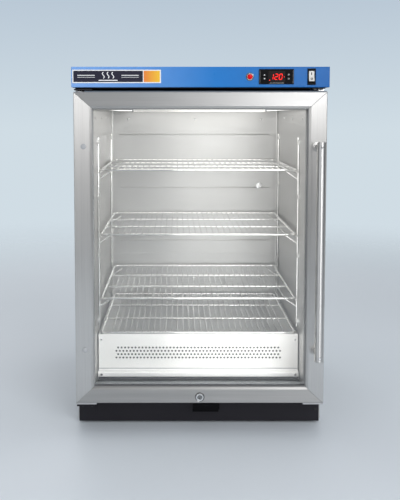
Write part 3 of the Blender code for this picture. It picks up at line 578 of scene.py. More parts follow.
def enamel_with_painted_sheen(name, left, middle, right, rough=0.30, coat=0.04):
    """Gloss paint with faint orange peel, lightened towards the left as a painted reflection and
    deepening to the paint's own colour on the right.
    """
    s = Shade(name, Coat_Weight=coat, Coat_Roughness=0.15, Specular_IOR_Level=0.14)
    # painted reflection: the ramp lightens the paint towards the left
    base = s.ramp(s.along(0, -0.30, 0.30), (0.0, left), (0.56, middle), (1.0, right))
    cloud = s.ramp(s.noise(30.0, 3.0), (0.3, 0.95), (0.7, 1.0))
    s.set("Base Color", s.blend(1.0, base, cloud, "MULTIPLY"))
    s.vary("Roughness", s.noise(45.0), rough, 0.9, 1.1)
    s.bump(s.noise(420.0), 0.05)
    return s.mat


def glowing(name, colour, strength, rough=0.25):
    """A lit lens, figure or diffuser."""
    s = Shade(name, Emission_Color=colour, Emission_Strength=strength, Specular_IOR_Level=0.1)
    cloud = s.noise(300.0)
    s.vary("Base Color", cloud, colour, 0.9, 1.0)
    s.vary("Roughness", cloud, rough, 0.9, 1.1)
    return s.mat


def printed_fade(name, left, right):
    """Ink on the nameplate's panel that fades from one colour to the other."""
    s = Shade(name)
    s.set("Base Color", s.ramp(s.along(0, PANEL_LEFT, PANEL_RIGHT), (0.0, left), (1.0, right)))
    s.set("Roughness", s.ramp(s.noise(200.0), (0.3, 0.3), (0.7, 0.4)))
    return s.mat


# ---- materials ----
STEEL_TINT = (1.0, 0.990, 0.974)
# One brushed stainless for the door frame in three tones: the stiles' lighter tone is painted light
# and the bottom rail's darker tone is painted shade.
STEEL_RAIL = brushed("steel_rail", 0, 0.56, 0.46, 0.80, STEEL_TINT)
LOW_RAIL_STEEL_PAINTED_SHADE = brushed("steel_low_rail_painted_shade", 0, 0.44, 0.38, 0.45, STEEL_TINT)
STILE_STEEL_PAINTED_LIGHT = brushed("steel_stile_painted_light", 2, 0.68, 0.42, 0.9, STEEL_TINT)
STEEL_SIDE = brushed("steel_side", 2, 0.62, 0.34, 0.6, STEEL_TINT, across=(0.03, 1.0, 0.03))
STEEL_HANDLE = brushed("steel_handle", 2, 0.66, 0.36, 0.9, STEEL_TINT, across=(0.02, 0.02, 1.0),
                       contrast=0.5)
LINER_STEEL = brushed("liner_steel", 2, 0.54, 0.32, 0.3, (1.0, 0.995, 0.98), metal=0.9,
                      across=(0.7, 0.7, 0.05), contrast=0.22)
GALVANISED = plated("galvanised", 0.50, 0.42, (0.97, 0.99, 1.0))
CHROME = plated("chrome", 0.74, 0.13)
# Dark plating: on the pilot lamp it is the part's own finish; on the lock's plug and rosette it is
# painted shade.
DARK_PLATING_AND_PAINTED_SHADE = plated("dark_plating_and_painted_shade", 0.26, 0.16)
WIRE = plated("wire", 0.84, 0.17, (1.0, 0.995, 0.98), 0.95)
COVER = brushed("cover_satin", 0, 0.84, 0.50, 0.1, (1.0, 0.99, 0.97), metal=0.15, contrast=0.35)
GUARD_TOP = brushed("guard_top_steel", 0, 0.58, 0.36, 0.3, (1.0, 0.998, 0.99), metal=0.85,
                    contrast=0.4)
SILL = brushed("sill_steel", 0, 0.14, 0.30, 0.4, tint=(0.92, 0.98, 1.04))
SPACER = brushed("spacer_aluminium", 2, 0.72, 0.35, 0.3)
# Both blues are lightened towards the left as a painted reflection; the right end is the paint's
# own colour.
BLUE = enamel_with_painted_sheen("blue_enamel", (0.225, 0.420, 0.820), (0.018, 0.190, 0.560), (0.0, 0.110, 0.385))
BLUE_TOP = enamel_with_painted_sheen("blue_enamel_top", (0.020, 0.140, 0.420), (0.012, 0.125, 0.390),
                  (0.006, 0.100, 0.350), rough=0.58, coat=0.0)
KICK = moulded("kick_powder_coat", (0.009, 0.008, 0.012), 0.50, 900.0, 0.2, Specular_IOR_Level=0.3)
BLACK_PLASTIC = moulded("black_plastic", (0.004, 0.004, 0.005), 0.42, Specular_IOR_Level=0.05)
SWITCH_BLACK = moulded("switch_black", (0.003, 0.003, 0.004), 0.36, Specular_IOR_Level=0.06)
KEY_GREY = moulded("key_grey", (0.008, 0.008, 0.009), 0.48, Specular_IOR_Level=0.08)
RUBBER = moulded("rubber", (0.03, 0.03, 0.033), 0.75, 500.0, 0.3)
FRAME_GREY = moulded("frame_grey", (0.17, 0.18, 0.19), 0.42)
BREAKER_GREY = moulded("breaker_grey", (0.36, 0.37, 0.38), 0.40)
BEAD_GREY = moulded("bead_grey", (0.34, 0.345, 0.35), 0.55, 500.0, 0.2)
STRIP_GREY = moulded("strip_grey", (0.12, 0.15, 0.19), 0.45)
BUSH_GREY = moulded("bush_grey", (0.42, 0.43, 0.45), 0.45)
PADDLE_WHITE = moulded("paddle_white", (0.62, 0.62, 0.60), 0.30, 600.0, 0.05)
PRINT_WHITE = moulded("print_white", (0.85, 0.86, 0.87), 0.45, 500.0, 0.04)
PRINT_DARK = moulded("print_dark", (0.024, 0.023, 0.040), 0.40, 500.0, 0.04,
                     Specular_IOR_Level=0.15)
PRINT_GREY = moulded("print_grey", (0.5, 0.5, 0.5), 0.45, 500.0, 0.04)
BLANKET = moulded("mineral_wool", (0.62, 0.55, 0.34), 0.95, 260.0, 0.9)
ELEMENT = plated("element_sheath", 0.32, 0.45, (1.0, 0.93, 0.88))
FOOT_BLACK = moulded("foot_black", (0.015, 0.015, 0.016), 0.5)
GLASS_OUTER = clear_glass("glass_outer", (0.985, 0.99, 0.99))
GLASS_INNER = clear_glass("glass_inner", (0.99, 0.992, 0.99))
WINDOW = moulded("display_window", (0.004, 0.001, 0.001), 0.12, 300.0, 0.01,
                 Specular_IOR_Level=0.05)
LENS = glowing("lens_red", (0.70, 0.006, 0.008), 0.12, 0.12)
DIGITS = glowing("digits_red", (1.0, 0.012, 0.010), 1.3)
DIFFUSER = glowing("lamp_diffuser", (0.9, 0.88, 0.84), 0.35, 0.5)
AMBER = printed_fade("print_amber", (0.78, 0.20, 0.03), (0.88, 0.52, 0.02))

# the CAD nodes that wear each material
NODE_LOOKS = (
    (STEEL_SIDE, "left_side_panel right_side_panel"),
    (GALVANISED, "rear_panel base_frame"),
    (KICK, "kick_plate upper_hinge_bracket lower_hinge_bracket"),
    (LINER_STEEL, "inner_liner"),
    (BLANKET, "insulation_blanket"),
    (BREAKER_GREY, "front_breaker_frame"),
    (BLUE_TOP, "top_cover"),
    (BLUE, "control_fascia"),
    (PRINT_WHITE, "nameplate"),
    # the lock plug's dark is painted shade in its recess
    (DARK_PLATING_AND_PAINTED_SHADE, "pilot_lamp_bezel lock_plug"),
    (LENS, "pilot_lamp_lens"),
    (BLACK_PLASTIC, "controller_housing fan_frame power_inlet lock_strike fan_rotor"),
    (WINDOW, "controller_window"),
    (SWITCH_BLACK, "rocker_bezel"),
    (ELEMENT, "heating_element"),
    (CHROME, "temperature_sensor lock_body"),
    (DIFFUSER, "interior_lamp"),
    (STEEL_RAIL, "door_rail_top"),
    (LOW_RAIL_STEEL_PAINTED_SHADE, "door_rail_bottom"),
    (STILE_STEEL_PAINTED_LIGHT, "door_stile_left door_stile_right"),
    (GLASS_OUTER, "outer_glass"),
    (GLASS_INNER, "inner_glass"),
    (SPACER, "glass_spacer"),
    (FRAME_GREY, "door_inner_frame"),
    (RUBBER, "door_gasket"),
    (STEEL_HANDLE, "handle_bar handle_post_upper handle_post_lower"),
    (BUSH_GREY, "plug_cap_upper plug_cap_lower hinge_bush_upper hinge_bush_lower "
                "door_corner_strip"),
    (PADDLE_WHITE, "rocker_paddle"),
    (KEY_GREY, "key_up key_down key_mode key_set"),
    (FOOT_BLACK, "foot_front_left foot_front_right foot_rear_left foot_rear_right"),
)
# the CAD nodes whose edges are rounded by each width
SOFT_EDGES = (
    (0.0005, "left_side_panel right_side_panel kick_plate top_cover upper_hinge_bracket "
             "lower_hinge_bracket hinge_bush_lower door_inner_frame power_inlet"),
    (0.0004, "control_fascia controller_housing rocker_bezel rocker_paddle door_rail_top "
             "door_rail_bottom door_stile_left door_stile_right"),
    (0.0008, "door_gasket fan_frame"),
    (0.0006, "handle_bar lock_strike door_corner_strip front_breaker_frame"),
    (0.0003, "lock_body lock_plug key_up key_down key_mode key_set"),
    (0.0010, "interior_lamp"),
)


def dress_cad_nodes():
    """Give every CAD node its material, and round its edges where they show."""
    for mat, names in NODE_LOOKS:
        for name in names.split():
            for slot in NODES[name].material_slots:
                slot.material = mat
    for width, names in SOFT_EDGES:
        for name in names.split():
            soften(NODES[name], width)


# ---- inside the cabinet ----
def wire_shelf(node):
    """Bent rim, two cross rails and thirty wires welded over them."""
    level, over = SHELF_LEVELS[node], SHELF_LEVELS[node] + 0.0026
    x, front, back = SHELF_HALF - RIM_R, SHELF_FRONT + RIM_R, SHELF_BACK - RIM_R
    bm = bmesh.new()
    corners = [(*corner, level) for corner in rectangle(-x, front, x, back)]
    sweep(bm, rounded(corners, 0.012, 6, closed=True), RIM_R, 12, closed=True)
    for y in CROSS_RAILS:
        sweep(bm, ((-x, y, level - 0.0008), (x, y, level - 0.0008)), CROSS_R, 10)
    for i in range(WIRE_COUNT):
        wx = (i - (WIRE_COUNT - 1) / 2) * WIRE_PITCH
        path = ((wx, front - 0.0022, over - 0.0016), (wx, front - 0.0008, over),
                (wx, back + 0.0008, over), (wx, back + 0.0022, over - 0.0016))
        sweep(bm, path, WIRE_R, 8, dome=True)
    piece(node + "_wires", bm, SHELF_BODIES[node], WIRE, replaces=(node,))


def wall_rack(name, side):
    """Two uprights, and a rail with two struts under each shelf, held to the wall by clips."""
    bm = bmesh.new()
    wall, rail = side * 0.25395, side * 0.2493
    for y in RACK_STATIONS:
        sweep(bm, ((wall, y, 0.215), (wall, y, 0.700)), 0.0027, 12, up=(0, 1, 0), dome=True)
        for z in (0.2300, 0.4000, 0.5500, 0.6900):
            low, high = sorted((side * 0.2520, side * 0.25685))
            clip = rectangle(y - 0.0055, z - 0.006, y + 0.0055, z + 0.006)
            prism(bm, rounded(clip, 0.003, 3, closed=True), 0, low, high)
    for node in ("shelf_upper", "shelf_middle", "shelf_lower"):
        level = SHELF_LEVELS[node]
        drop = level - 0.0057
        sweep(bm, ((rail, -0.1262, drop), (rail, 0.2640, drop)), 0.0026, 10, dome=True)
        for y in RACK_STATIONS:
            strut = [(side * 0.2535, y, level - 0.0400), (side * 0.2535, y, level - 0.0250),
                     (side * 0.2240, y, level - 0.0058)]
            sweep(bm, rounded(strut, 0.006, 4), 0.0018, 10, up=(0, 1, 0), dome=True)
    piece(name + "_tubes", bm, "cabinet", WIRE, replaces=(name,))


def heater_guard():
    """Folded satin guard: perforated front and top, cheeks and a rolled foot flange, with a dark
    strip on the front's lower fold and a black sheet behind its holes as painted shade.
    """
    bm = bmesh.new()
    bend, sheet, half = 0.0030, COVER_SHEET, COVER_SHEET / 2
    columns, rows, pitch = 48, 4, 0.0089
    perforated(bm, lambda u, v, w: (u, SHELF_FRONT + w, v), (-COVER_HALF, COVER_FOLD + bend),
               (COVER_HALF, COVER_TOP - bend), (-columns * pitch / 2, 0.1347), (pitch, 0.0087),
               (columns, rows), 0.0027, sheet)
    top_bend = [(SHELF_FRONT + half, COVER_TOP - bend), (SHELF_FRONT + half, COVER_TOP - half),
                (SHELF_FRONT + bend, COVER_TOP - half)]
    prism(bm, ribbon(rounded(top_bend, bend, 8), sheet), 0, -COVER_HALF, COVER_HALF)
    foot = [(SHELF_FRONT + half, COVER_FOLD + bend), (SHELF_FRONT + half, COVER_FOLD - half),
            (-0.1494, COVER_FOLD - half), (-0.1494, 0.0946), (-0.1440, 0.0946)]
    prism(bm, ribbon(rounded(foot, 0.0028, 6), sheet), 0, -COVER_HALF, COVER_HALF)
    for side in (-1, 1):
        low, high = sorted((side * COVER_HALF, side * (COVER_HALF - sheet)))
        box(bm, (low, SHELF_FRONT + bend, COVER_FOLD + 0.004),
            (high, 0.284, COVER_TOP - sheet - 0.0002))
    piece("heater_guard", bm, "cabinet", COVER, replaces=("heater_cover",))
    bm = bmesh.new()
    pitch = 0.0080
    perforated(bm, lambda u, v, w: (u, v, COVER_TOP - w), (-COVER_HALF, SHELF_FRONT + bend),
               (COVER_HALF, 0.285), (-0.212, -0.116), (pitch, pitch), (53, 48), 0.0030, sheet)
    piece("heater_guard_top", bm, "cabinet", GUARD_TOP, slot="heater_cover")
    bm = bmesh.new()
    for side in (-1, 1):
        screw(bm, (side * 0.2455, -0.1500, 0.1005), 1, -1, 0.0034, 0.0018)
        screw(bm, (side * 0.2475, SHELF_FRONT, 0.1860), 1, -1, 0.0026, 0.0013)
    piece("heater_guard_screws", bm, "cabinet", CHROME)
    # A dark grey strip along the front's lower fold, as a painted shadow line in the crease.
    y, z = SHELF_FRONT - 0.0002, COVER_FOLD + 0.0036
    fold = [(y, z), (y - 0.0010, z + 0.0003), (y - 0.0010, z + 0.0013), (y, z + 0.0016)]
    reach = COVER_HALF - 0.001
    bar_piece("heater_guard_fold_shadow_line", fold, -reach, reach, "cabinet", FRAME_GREY)
    # A rubber strip that carries the flange off the liner floor; its black also stands in for the
    # shadow under the flange, as painted shade.
    lip = [(-0.1485, 0.0884), (-0.1485, 0.0935), (-0.1475, 0.0940), (-0.1400, 0.0940),
           (-0.1390, 0.0935), (-0.1390, 0.0884)]
    bar_piece("heater_guard_foot_seal", lip, -0.2540, 0.2540, "cabinet", RUBBER)
    # A black sheet behind the front's holes, as painted shade seen through them.
    shade_sheet = [(-0.1295, 0.1290), (-0.1285, 0.1280), (-0.1265, 0.1290), (-0.1265, 0.1740),
           (-0.1285, 0.1750), (-0.1295, 0.1740)]
    bar_piece("heater_guard_shade_sheet", shade_sheet, -0.2400, 0.2400, "cabinet", KICK)


def liner_details():
    """Threshold plate, coved rear corners, beads on the rear wall, rivets and lamp caps."""
    floor = LINER_LOW + 0.0001
    low, high = floor + 0.0006, floor + 0.0018
    steps = [(-0.2040, floor), (-0.2040, high), (-0.1925, high), (-0.1905, low), (-0.1780, low),
             (-0.1760, high), (-0.1600, high), (-0.1580, low), (-0.1520, low), (-0.1520, floor)]
    bar_piece("threshold_plate", steps, -0.2545, 0.2545, "cabinet", SILL, edge=0.0003)
    bm = bmesh.new()
    cove, wall, rear = 0.012, LINER_HALF - 0.0001, LINER_BACK - 0.0001
    for side in (-1, 1):
        arc = [(side * wall, LINER_BACK - cove), (side * wall, rear),
               (side * (LINER_HALF - cove), rear)]
        prism(bm, ribbon(rounded(arc, cove, 8), 0.0006), 2, 0.2030, LINER_HIGH - 0.0005)
    for z in (0.3700, 0.5340, 0.6980):
        bead = [(-0.2300, LINER_BACK - 0.0004, z), (0.2300, LINER_BACK - 0.0004, z)]
        sweep(bm, bead, 0.0016, 12, dome=True)
    piece("liner_coves", bm, "cabinet", LINER_STEEL)
    bm = bmesh.new()
    for x in (-0.205, 0.0, 0.205):
        for z in (0.250, 0.745):
            screw(bm, (x, LINER_BACK, z), 1, -1, 0.0035, 0.0016)
    for side in (-1, 1):
        for y in (-0.150, 0.0, 0.150):
            screw(bm, (side * LINER_HALF, y, 0.7500), 0, -side, 0.0030, 0.0014)
    piece("liner_rivets", bm, "cabinet", CHROME)
    bm = bmesh.new()
    for side in (-1, 1):
        lathe(bm, ((0.0, 0.0), (0.0052, 0.0), (0.0060, 0.0008), (0.0060, 0.0026), (0.0, 0.0026)),
              (side * 0.1665, -0.176, LINER_HIGH - 0.0028), 2, 20)
        low, high = sorted((side * 0.1598, side * 0.1632))
        box(bm, (low, -0.1915, LINER_HIGH - 0.0118), (high, -0.1605, LINER_HIGH - 0.0004))
    piece("lamp_end_caps", bm, "cabinet", BUSH_GREY, edge=0.0003)


# ---- door ----
def door_details():
    """Glazing bead and sill, top cap, rosettes, handle screws and gasket retainer."""
    bm = bmesh.new()
    y = OUTER_GLASS_Y
    section = ((0.0, y - 0.0002), (0.0, y - 0.0016), (0.0006, y - 0.0020), (0.0019, y - 0.0010),
               (0.0021, y - 0.0002))
    ring_frame(bm, section, PANE_HALF - 0.0001, PANE_LOW + 0.0001, PANE_HIGH - 0.0001)
    piece("glazing_bead", bm, "door", BEAD_GREY)
    y, z, reach = OUTER_GLASS_Y - 0.0003, PANE_LOW, PANE_HALF - 0.0024
    strip = [(y, z + 0.0022), (y - 0.0016, z + 0.0024), (y - 0.0022, z + 0.0032),
             (y - 0.0016, z + 0.0042), (y, z + 0.0044)]
    bar_piece("glazing_sill", strip, -reach, reach, "door", RUBBER)
    cap = [(-0.2628, 0.8121), (-0.2628, 0.8136), (-0.2612, 0.8144), (-0.2262, 0.8144),
           (-0.2246, 0.8136), (-0.2246, 0.8121)]
    bar_piece("door_top_cap", cap, -0.2700, 0.2940, "door", STRIP_GREY, edge=0.0003)
    # The rosette round the lock is dark as a painted shadow above the lock.
    lock_ring = ((0.0096, -0.0003), (0.0115, -0.0003), (0.0115, -0.0010), (0.0109, -0.0015),
                 (0.0101, -0.0012), (0.0096, -0.0008))
    turned_piece("lock_rosette", lock_ring, [(0.0, FACE_Y, LOCK_LEVEL)], 1, 40, "door", DARK_PLATING_AND_PAINTED_SHADE,
                 closed=True)
    post_ring = ((0.0092, -0.0003), (0.0118, -0.0003), (0.0118, -0.0012), (0.0108, -0.0020),
                 (0.0092, -0.0020))
    turned_piece("handle_rosettes", post_ring, [(HANDLE_X, FACE_Y, z) for z in HANDLE_POSTS], 1, 40,
                 "door", STEEL_HANDLE, closed=True)
    socket_head = ((0.0, 0.0), (0.0030, 0.0), (0.0030, -0.0022), (0.0024, -0.0028),
                   (0.0012, -0.0028), (0.0012, -0.0018), (0.0, -0.0018))
    turned_piece("handle_end_screws", socket_head,
                 [(HANDLE_X, HANDLE_FRONT, z) for z in HANDLE_POSTS], 1, 24, "door", CHROME)
    bm = bmesh.new()
    section = ((0.0, -0.2209), (0.0, -0.2196), (0.0035, -0.2188), (0.0055, -0.2196),
               (0.0055, -0.2209))
    ring_frame(bm, section, 0.2620, 0.0905, 0.7770)
    piece("gasket_retainer", bm, "door", FRAME_GREY)


# ---- control head ----
def digit(bm, text, x, z, width, height, thick, back, front):
    """One leaning seven-segment figure."""
    lit = {"0": "abcdef", "1": "bc", "2": "abged"}[text]
    half, lean = height / 2, 0.14
    ends = {
        "a": ((0, height), (width, height)), "b": ((width, height), (width, half)),
        "c": ((width, half), (width, 0)), "d": ((0, 0), (width, 0)), "e": ((0, half), (0, 0)),
        "f": ((0, height), (0, half)), "g": ((0, half), (width, half)),
    }
    for name in lit:
        p, q = (Vector((x + u + lean * v, z + v)) for u, v in ends[name])
        cut = (q - p).normalized() * thick * 0.25
        p, q = p + cut, q - cut
        d = (q - p).normalized()
        n = Vector((-d.y, d.x)) * thick / 2
        tip = d * thick / 2
        prism(bm, (p, p + tip + n, q - tip + n, q, q - tip - n, p + tip - n), 1, front, back)


def nameplate_details():
    """Dark field with a heat symbol and plain rules, and an amber panel beside it."""
    face = NAMEPLATE_FRONT
    for name, left, right, mat in (("nameplate_field", -0.2945, -0.1335, PRINT_DARK),
                                   ("nameplate_panel", PANEL_LEFT, PANEL_RIGHT, AMBER)):
        bm = bmesh.new()
        patch = rectangle(left, NAMEPLATE_LOW, right, NAMEPLATE_HIGH)
        prism(bm, rounded(patch, 0.0008, 3, closed=True), 1, face - 0.00025, face + 0.0001)
        piece(name, bm, "cabinet", mat, slot="nameplate")
    bm = bmesh.new()
    ink = (face - 0.0002, face - 0.0005)
    for x in (-0.2250, -0.2140, -0.2030):
        wave = [(x + 0.0022 * math.sin(k / 12 * 2 * math.pi), 0.8430 + 0.0145 * k / 12)
                for k in range(13)]
        stroke(bm, wave, 0.0019, *ink)
    stroke(bm, [(-0.2360, 0.8385), (-0.1920, 0.8385)], 0.0022, *ink)
    for x0, x1 in ((-0.2850, -0.2450), (-0.1830, -0.1430)):
        stroke(bm, [(x0, 0.8500), (x1, 0.8500)], 0.0016, *ink)
        stroke(bm, [(x0, 0.8455), (x1, 0.8455)], 0.0008, *ink)
    piece("nameplate_icon", bm, "cabinet", PRINT_WHITE, slot="nameplate")


def controller_details():
    """The display's figures, the marks on the keys and the lines on the thermostat's face."""
    bm = bmesh.new()
    back, front = WINDOW_FRONT, WINDOW_FRONT - 0.0003
    for text, x in (("1", 0.1610), ("2", 0.1715), ("0", 0.1815)):
        digit(bm, text, x, 0.8403, 0.0064, 0.0126, 0.0013, back, front)
    prism(bm, rectangle(0.1592, 0.8380, 0.1608, 0.8396), 1, front, back)
    prism(bm, rectangle(0.1930, 0.8460, 0.1945, 0.8472), 1, front, back)
    piece("display_digits", bm, "cabinet", DIGITS, slot="controller_window")

    back, front = KEY_FRONT + 0.0001, KEY_FRONT - 0.0002
    for name, turn in (("up", 1), ("down", -1)):
        x, z = KEYS[name]
        base = z - 0.0012 * turn
        bm = bmesh.new()
        prism(bm, ((x - 0.0020, base), (x + 0.0020, base), (x, z + 0.0016 * turn)), 1, front, back)
        piece(f"key_{name}_mark", bm, f"button_{name}", PRINT_WHITE, slot=f"key_{name}")
    x, z = KEYS["mode"]
    ring = ((0.0010, 0.0001), (0.0017, 0.0001), (0.0017, -0.0002), (0.0010, -0.0002))
    turned_piece("key_mode_mark", ring, [(x, KEY_FRONT, z)], 1, 20, "button_mode", PRINT_GREY,
                 closed=True, slot="key_mode")
    x, z = KEYS["set"]
    bm = bmesh.new()
    for dz in (-0.0009, 0.0009):
        stroke(bm, [(x - 0.0020, z + dz), (x + 0.0020, z + dz)], 0.0007, back, front)
    piece("key_set_mark", bm, "button_set", PRINT_GREY, slot="key_set")

    bm = bmesh.new()
    back, front = CONTROLLER_FRONT + 0.0001, CONTROLLER_FRONT - 0.00015
    for x in (0.1375, 0.2145):
        stroke(bm, [(x, 0.8320), (x, 0.8620)], 0.0003, back, front)
    stroke(bm, [(0.1600, 0.8322), (0.1930, 0.8322)], 0.0006, back, front)
    piece("controller_lines", bm, "cabinet", PRINT_GREY, slot="controller_housing")


def rocker_marks():
    """A bar on one face of the tilted paddle and a ring on the other."""
    bm = bmesh.new()
    tilt = Matrix.Rotation(ROCKER_TILT, 2)
    back, front = -0.0002, 0.0003

    def spot(half, x, up, out):
        """A point on the upper (1) or lower (-1) face: across, along and out of it."""
        along = Vector((-0.0022, 0.0120 * half)).normalized()
        normal = Vector((-0.0120, -0.0022 * half)).normalized()
        local = Vector((-0.0061, 0.0060 * half)) + along * up * half + normal * out
        turned = tilt @ local
        return (ROCKER_PIVOT.x + x, ROCKER_PIVOT.y + turned.x, ROCKER_PIVOT.z + turned.y)

    def join(pairs):
        for a, b in pairs:
            for i in range(len(a)):
                j = (i + 1) % len(a)
                bm.faces.new((a[i], a[j], b[j], b[i]))

    bar = rectangle(-0.0010, -0.0028, 0.0010, 0.0028)
    ends = [[bm.verts.new(spot(1, x, u, out)) for x, u in bar] for out in (back, front)]
    join([ends])
    bm.faces.new(ends[0])
    bm.faces.new(ends[1])
    turns = [2 * math.pi * k / 28 for k in range(28)]
    rings = []
    for radius, out in ((0.0015, back), (0.0026, back), (0.0026, front), (0.0015, front)):
        rings.append([bm.verts.new(spot(-1, radius * math.cos(a), radius * math.sin(a), out))
                      for a in turns])
    join(zip(rings, rings[1:] + rings[:1]))
    piece("rocker_marks", bm, "rocker", SWITCH_BLACK, slot="rocker_paddle")


def head_fixings():
    """The pilot lamp's washer, and the plates and bolts under the head."""
    washer = ((0.0082, -0.0003), (0.0094, -0.0003), (0.0094, -0.0008), (0.0082, -0.0012))
    turned_piece("pilot_lamp_washer", washer, [PILOT_LAMP], 1, 40, "cabinet", DARK_PLATING_AND_PAINTED_SHADE,
                 closed=True)
    bm = bmesh.new()
    box(bm, (0.2600, -0.2580, 0.8196), (0.2910, -0.2320, 0.8222))
    piece("head_fixing_plate", bm, "cabinet", KICK, edge=0.0004)
    bolt = ((0.0, -0.0030), (0.0030, -0.0030), (0.0036, -0.0022), (0.0036, 0.0), (0.0, 0.0))
    turned_piece("head_fixing_bolts", bolt, [(x, -0.2500, 0.8197) for x in (0.2680, 0.2830)], 2, 20,
                 "cabinet", FRAME_GREY)
    bm = bmesh.new()
    box(bm, (-0.2500, -0.2560, 0.8205), (0.2580, -0.2150, 0.8223))
    piece("head_under_plate", bm, "cabinet", KICK, edge=0.0004)


# ---- shell ----
def shell_details():
    """Screws of the kick plate, rear, sides and lid, and the pressings in the rear sheet."""
    bm = bmesh.new()
    for side in (-1, 1):
        screw(bm, (side * 0.2860, KICK_FRONT, 0.0370), 1, -1, 0.0036, 0.0020)
    for x, z in ((-0.0080, 0.0400), (0.0400, 0.0400), (-0.2850, 0.0460), (-0.2625, 0.0460)):
        screw(bm, (x, BRACKET_FRONT, z), 1, -1, 0.0030, 0.0014)
    piece("kick_bolts", bm, "cabinet", FOOT_BLACK)
    bm = bmesh.new()
    for z in (0.040, 0.240, 0.440, 0.640, 0.800):
        for x in (-0.286, 0.286):
            screw(bm, (x, REAR_Y, z), 1, 1, 0.0036, 0.0018)
    for x in (-0.14, 0.0, 0.14):
        for z in (0.030, 0.806):
            screw(bm, (x, REAR_Y, z), 1, 1, 0.0036, 0.0018)
        screw(bm, (x, REAR_Y, 0.8605), 1, 1, 0.0030, 0.0016)
    for x in (0.1795, 0.2205):
        screw(bm, (x, INLET_REAR_Y, 0.8445), 1, 1, 0.0018, 0.0008)
    piece("rear_screws", bm, "cabinet", GALVANISED)
    bm = bmesh.new()
    y = REAR_Y - 0.0004
    for x in (-0.180, 0.180):
        sweep(bm, ((x, y, 0.280), (x, y, 0.740)), 0.0030, 14, up=(0, 1, 0), dome=True)
    for z in (0.290, 0.730):
        sweep(bm, ((-0.140, y, z), (0.140, y, z)), 0.0030, 14, dome=True)
    for i in range(6):
        z = 0.1265 + 0.016 * i
        louvre = [(REAR_Y, z), (REAR_Y + 0.0022, z - 0.0006), (REAR_Y + 0.0026, z + 0.0006),
                  (REAR_Y, z + 0.0034)]
        prism(bm, louvre, 0, -0.0600, 0.0600)
    piece("rear_pressings", bm, "cabinet", GALVANISED)
    bm = bmesh.new()
    for side in (-1, 1):
        for y in (-0.180, 0.0525, 0.285):
            for z in (0.0330, 0.8020):
                screw(bm, (side * SIDE_X, y, z), 0, side, 0.0032, 0.0014)
    piece("side_screws", bm, "cabinet", CHROME)
    bm = bmesh.new()
    for side in (-1, 1):
        for y in (-0.180, 0.280):
            screw(bm, (side * 0.2855, y, LID_TOP), 2, 1, 0.0034, 0.0016)
    piece("top_screws", bm, "cabinet", BLUE_TOP)


# ---- stage ----
def stage():
    """Pale floor that fades out into the studio's background."""
    bm = bmesh.new()
    bmesh.ops.create_grid(bm, x_segments=8, y_segments=8, size=FLOOR_HALF)
    mesh = bpy.data.meshes.new("floor")
    bm.to_mesh(mesh)
    bm.free()
    floor = bpy.data.objects.new("floor", mesh)
    bpy.context.scene.collection.objects.link(floor)
    s = Shade("floor", Roughness=0.55, Specular_IOR_Level=0.3)
    s.set("Base Color", s.ramp(s.noise(0.8), *FLOOR_COLOURS))
    reach = s.nodes.new("ShaderNodeVectorMath")
    reach.operation = "LENGTH"
    s.links.new(s.place, reach.inputs[0])
    far = smooth_range(s.nodes, FLOOR_FADE, (1.0, 0.0))
    s.links.new(reach.outputs["Value"], far.inputs["Value"])
    s.set("Alpha", far.outputs["Result"])
    mesh.materials.append(s.mat)


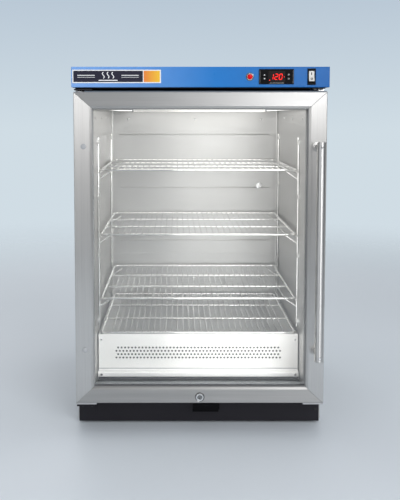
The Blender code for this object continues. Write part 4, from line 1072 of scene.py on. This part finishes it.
def studio():
    """Pale blue to the camera, and neutral to all else, where its sides are darker."""
    world = bpy.data.worlds.new("studio")
    bpy.context.scene.world = world
    world.use_nodes = True
    nodes, links = world.node_tree.nodes, world.node_tree.links
    coord = nodes.new("ShaderNodeTexCoord")
    split = nodes.new("ShaderNodeSeparateXYZ")
    links.new(coord.outputs["Generated"], split.inputs[0])
    height = nodes.new("ShaderNodeMapRange")
    height.inputs["From Min"].default_value, height.inputs["From Max"].default_value = SKY_HEIGHTS
    links.new(split.outputs[2], height.inputs["Value"])
    seen, lit = nodes.new("ShaderNodeValToRGB"), nodes.new("ShaderNodeValToRGB")
    for ramp, stops in ((seen, SEEN_SKY), (lit, LIT_SKY)):
        paint_ramp(ramp.color_ramp, stops)
        links.new(height.outputs[0], ramp.inputs["Fac"])
    sideways = nodes.new("ShaderNodeMath")
    sideways.operation = "ABSOLUTE"
    links.new(split.outputs[0], sideways.inputs[0])
    flag = smooth_range(nodes, FLAG_EDGE, (1.0, FLAG_DARK))
    links.new(sideways.outputs[0], flag.inputs["Value"])
    flagged = nodes.new("ShaderNodeVectorMath")
    flagged.operation = "SCALE"
    links.new(lit.outputs[0], flagged.inputs[0])
    links.new(flag.outputs["Result"], flagged.inputs["Scale"])
    rays = nodes.new("ShaderNodeLightPath")
    choose = nodes.new("ShaderNodeMix")
    choose.data_type = "RGBA"
    links.new(rays.outputs["Is Camera Ray"], choose.inputs[0])
    links.new(flagged.outputs[0], choose.inputs[6])
    links.new(seen.outputs[0], choose.inputs[7])
    background = nodes["Background"]
    links.new(choose.outputs[2], background.inputs["Color"])
    background.inputs["Strength"].default_value = 1.0


def area_light(name, place, target, size, watts, colour):
    """A rectangular softbox that faces its target."""
    data = bpy.data.lights.new(name, "AREA")
    data.shape = "RECTANGLE"
    data.size, data.size_y = size
    data.energy = watts
    data.color = colour
    obj = bpy.data.objects.new(name, data)
    obj.location = place
    obj.rotation_euler = (Vector(target) - Vector(place)).to_track_quat("-Z", "Y").to_euler()
    bpy.context.scene.collection.objects.link(obj)


def camera():
    """The photo's low, shifted view, with plain colour management."""
    data = bpy.data.cameras.new("camera")
    data.lens = CAMERA_LENS
    data.sensor_width = CAMERA_SENSOR
    data.shift_x, data.shift_y = CAMERA_SHIFT
    obj = bpy.data.objects.new("camera", data)
    obj.location = CAMERA_PLACE
    obj.rotation_euler = (CAMERA_PITCH, 0.0, 0.0)
    bpy.context.scene.collection.objects.link(obj)
    bpy.context.scene.camera = obj
    settings = bpy.context.scene.view_settings
    settings.view_transform = "Standard"
    settings.look = "None"
    settings.exposure = 0.0


dress_cad_nodes()
for node in SHELF_LEVELS:
    wire_shelf(node)
wall_rack("left_shelf_rack", -1)
wall_rack("right_shelf_rack", 1)
heater_guard()
liner_details()
door_details()
nameplate_details()
controller_details()
rocker_marks()
head_fixings()
shell_details()
stage()
studio()
for name, light in LIGHTS.items():
    area_light(name, *light)
camera()
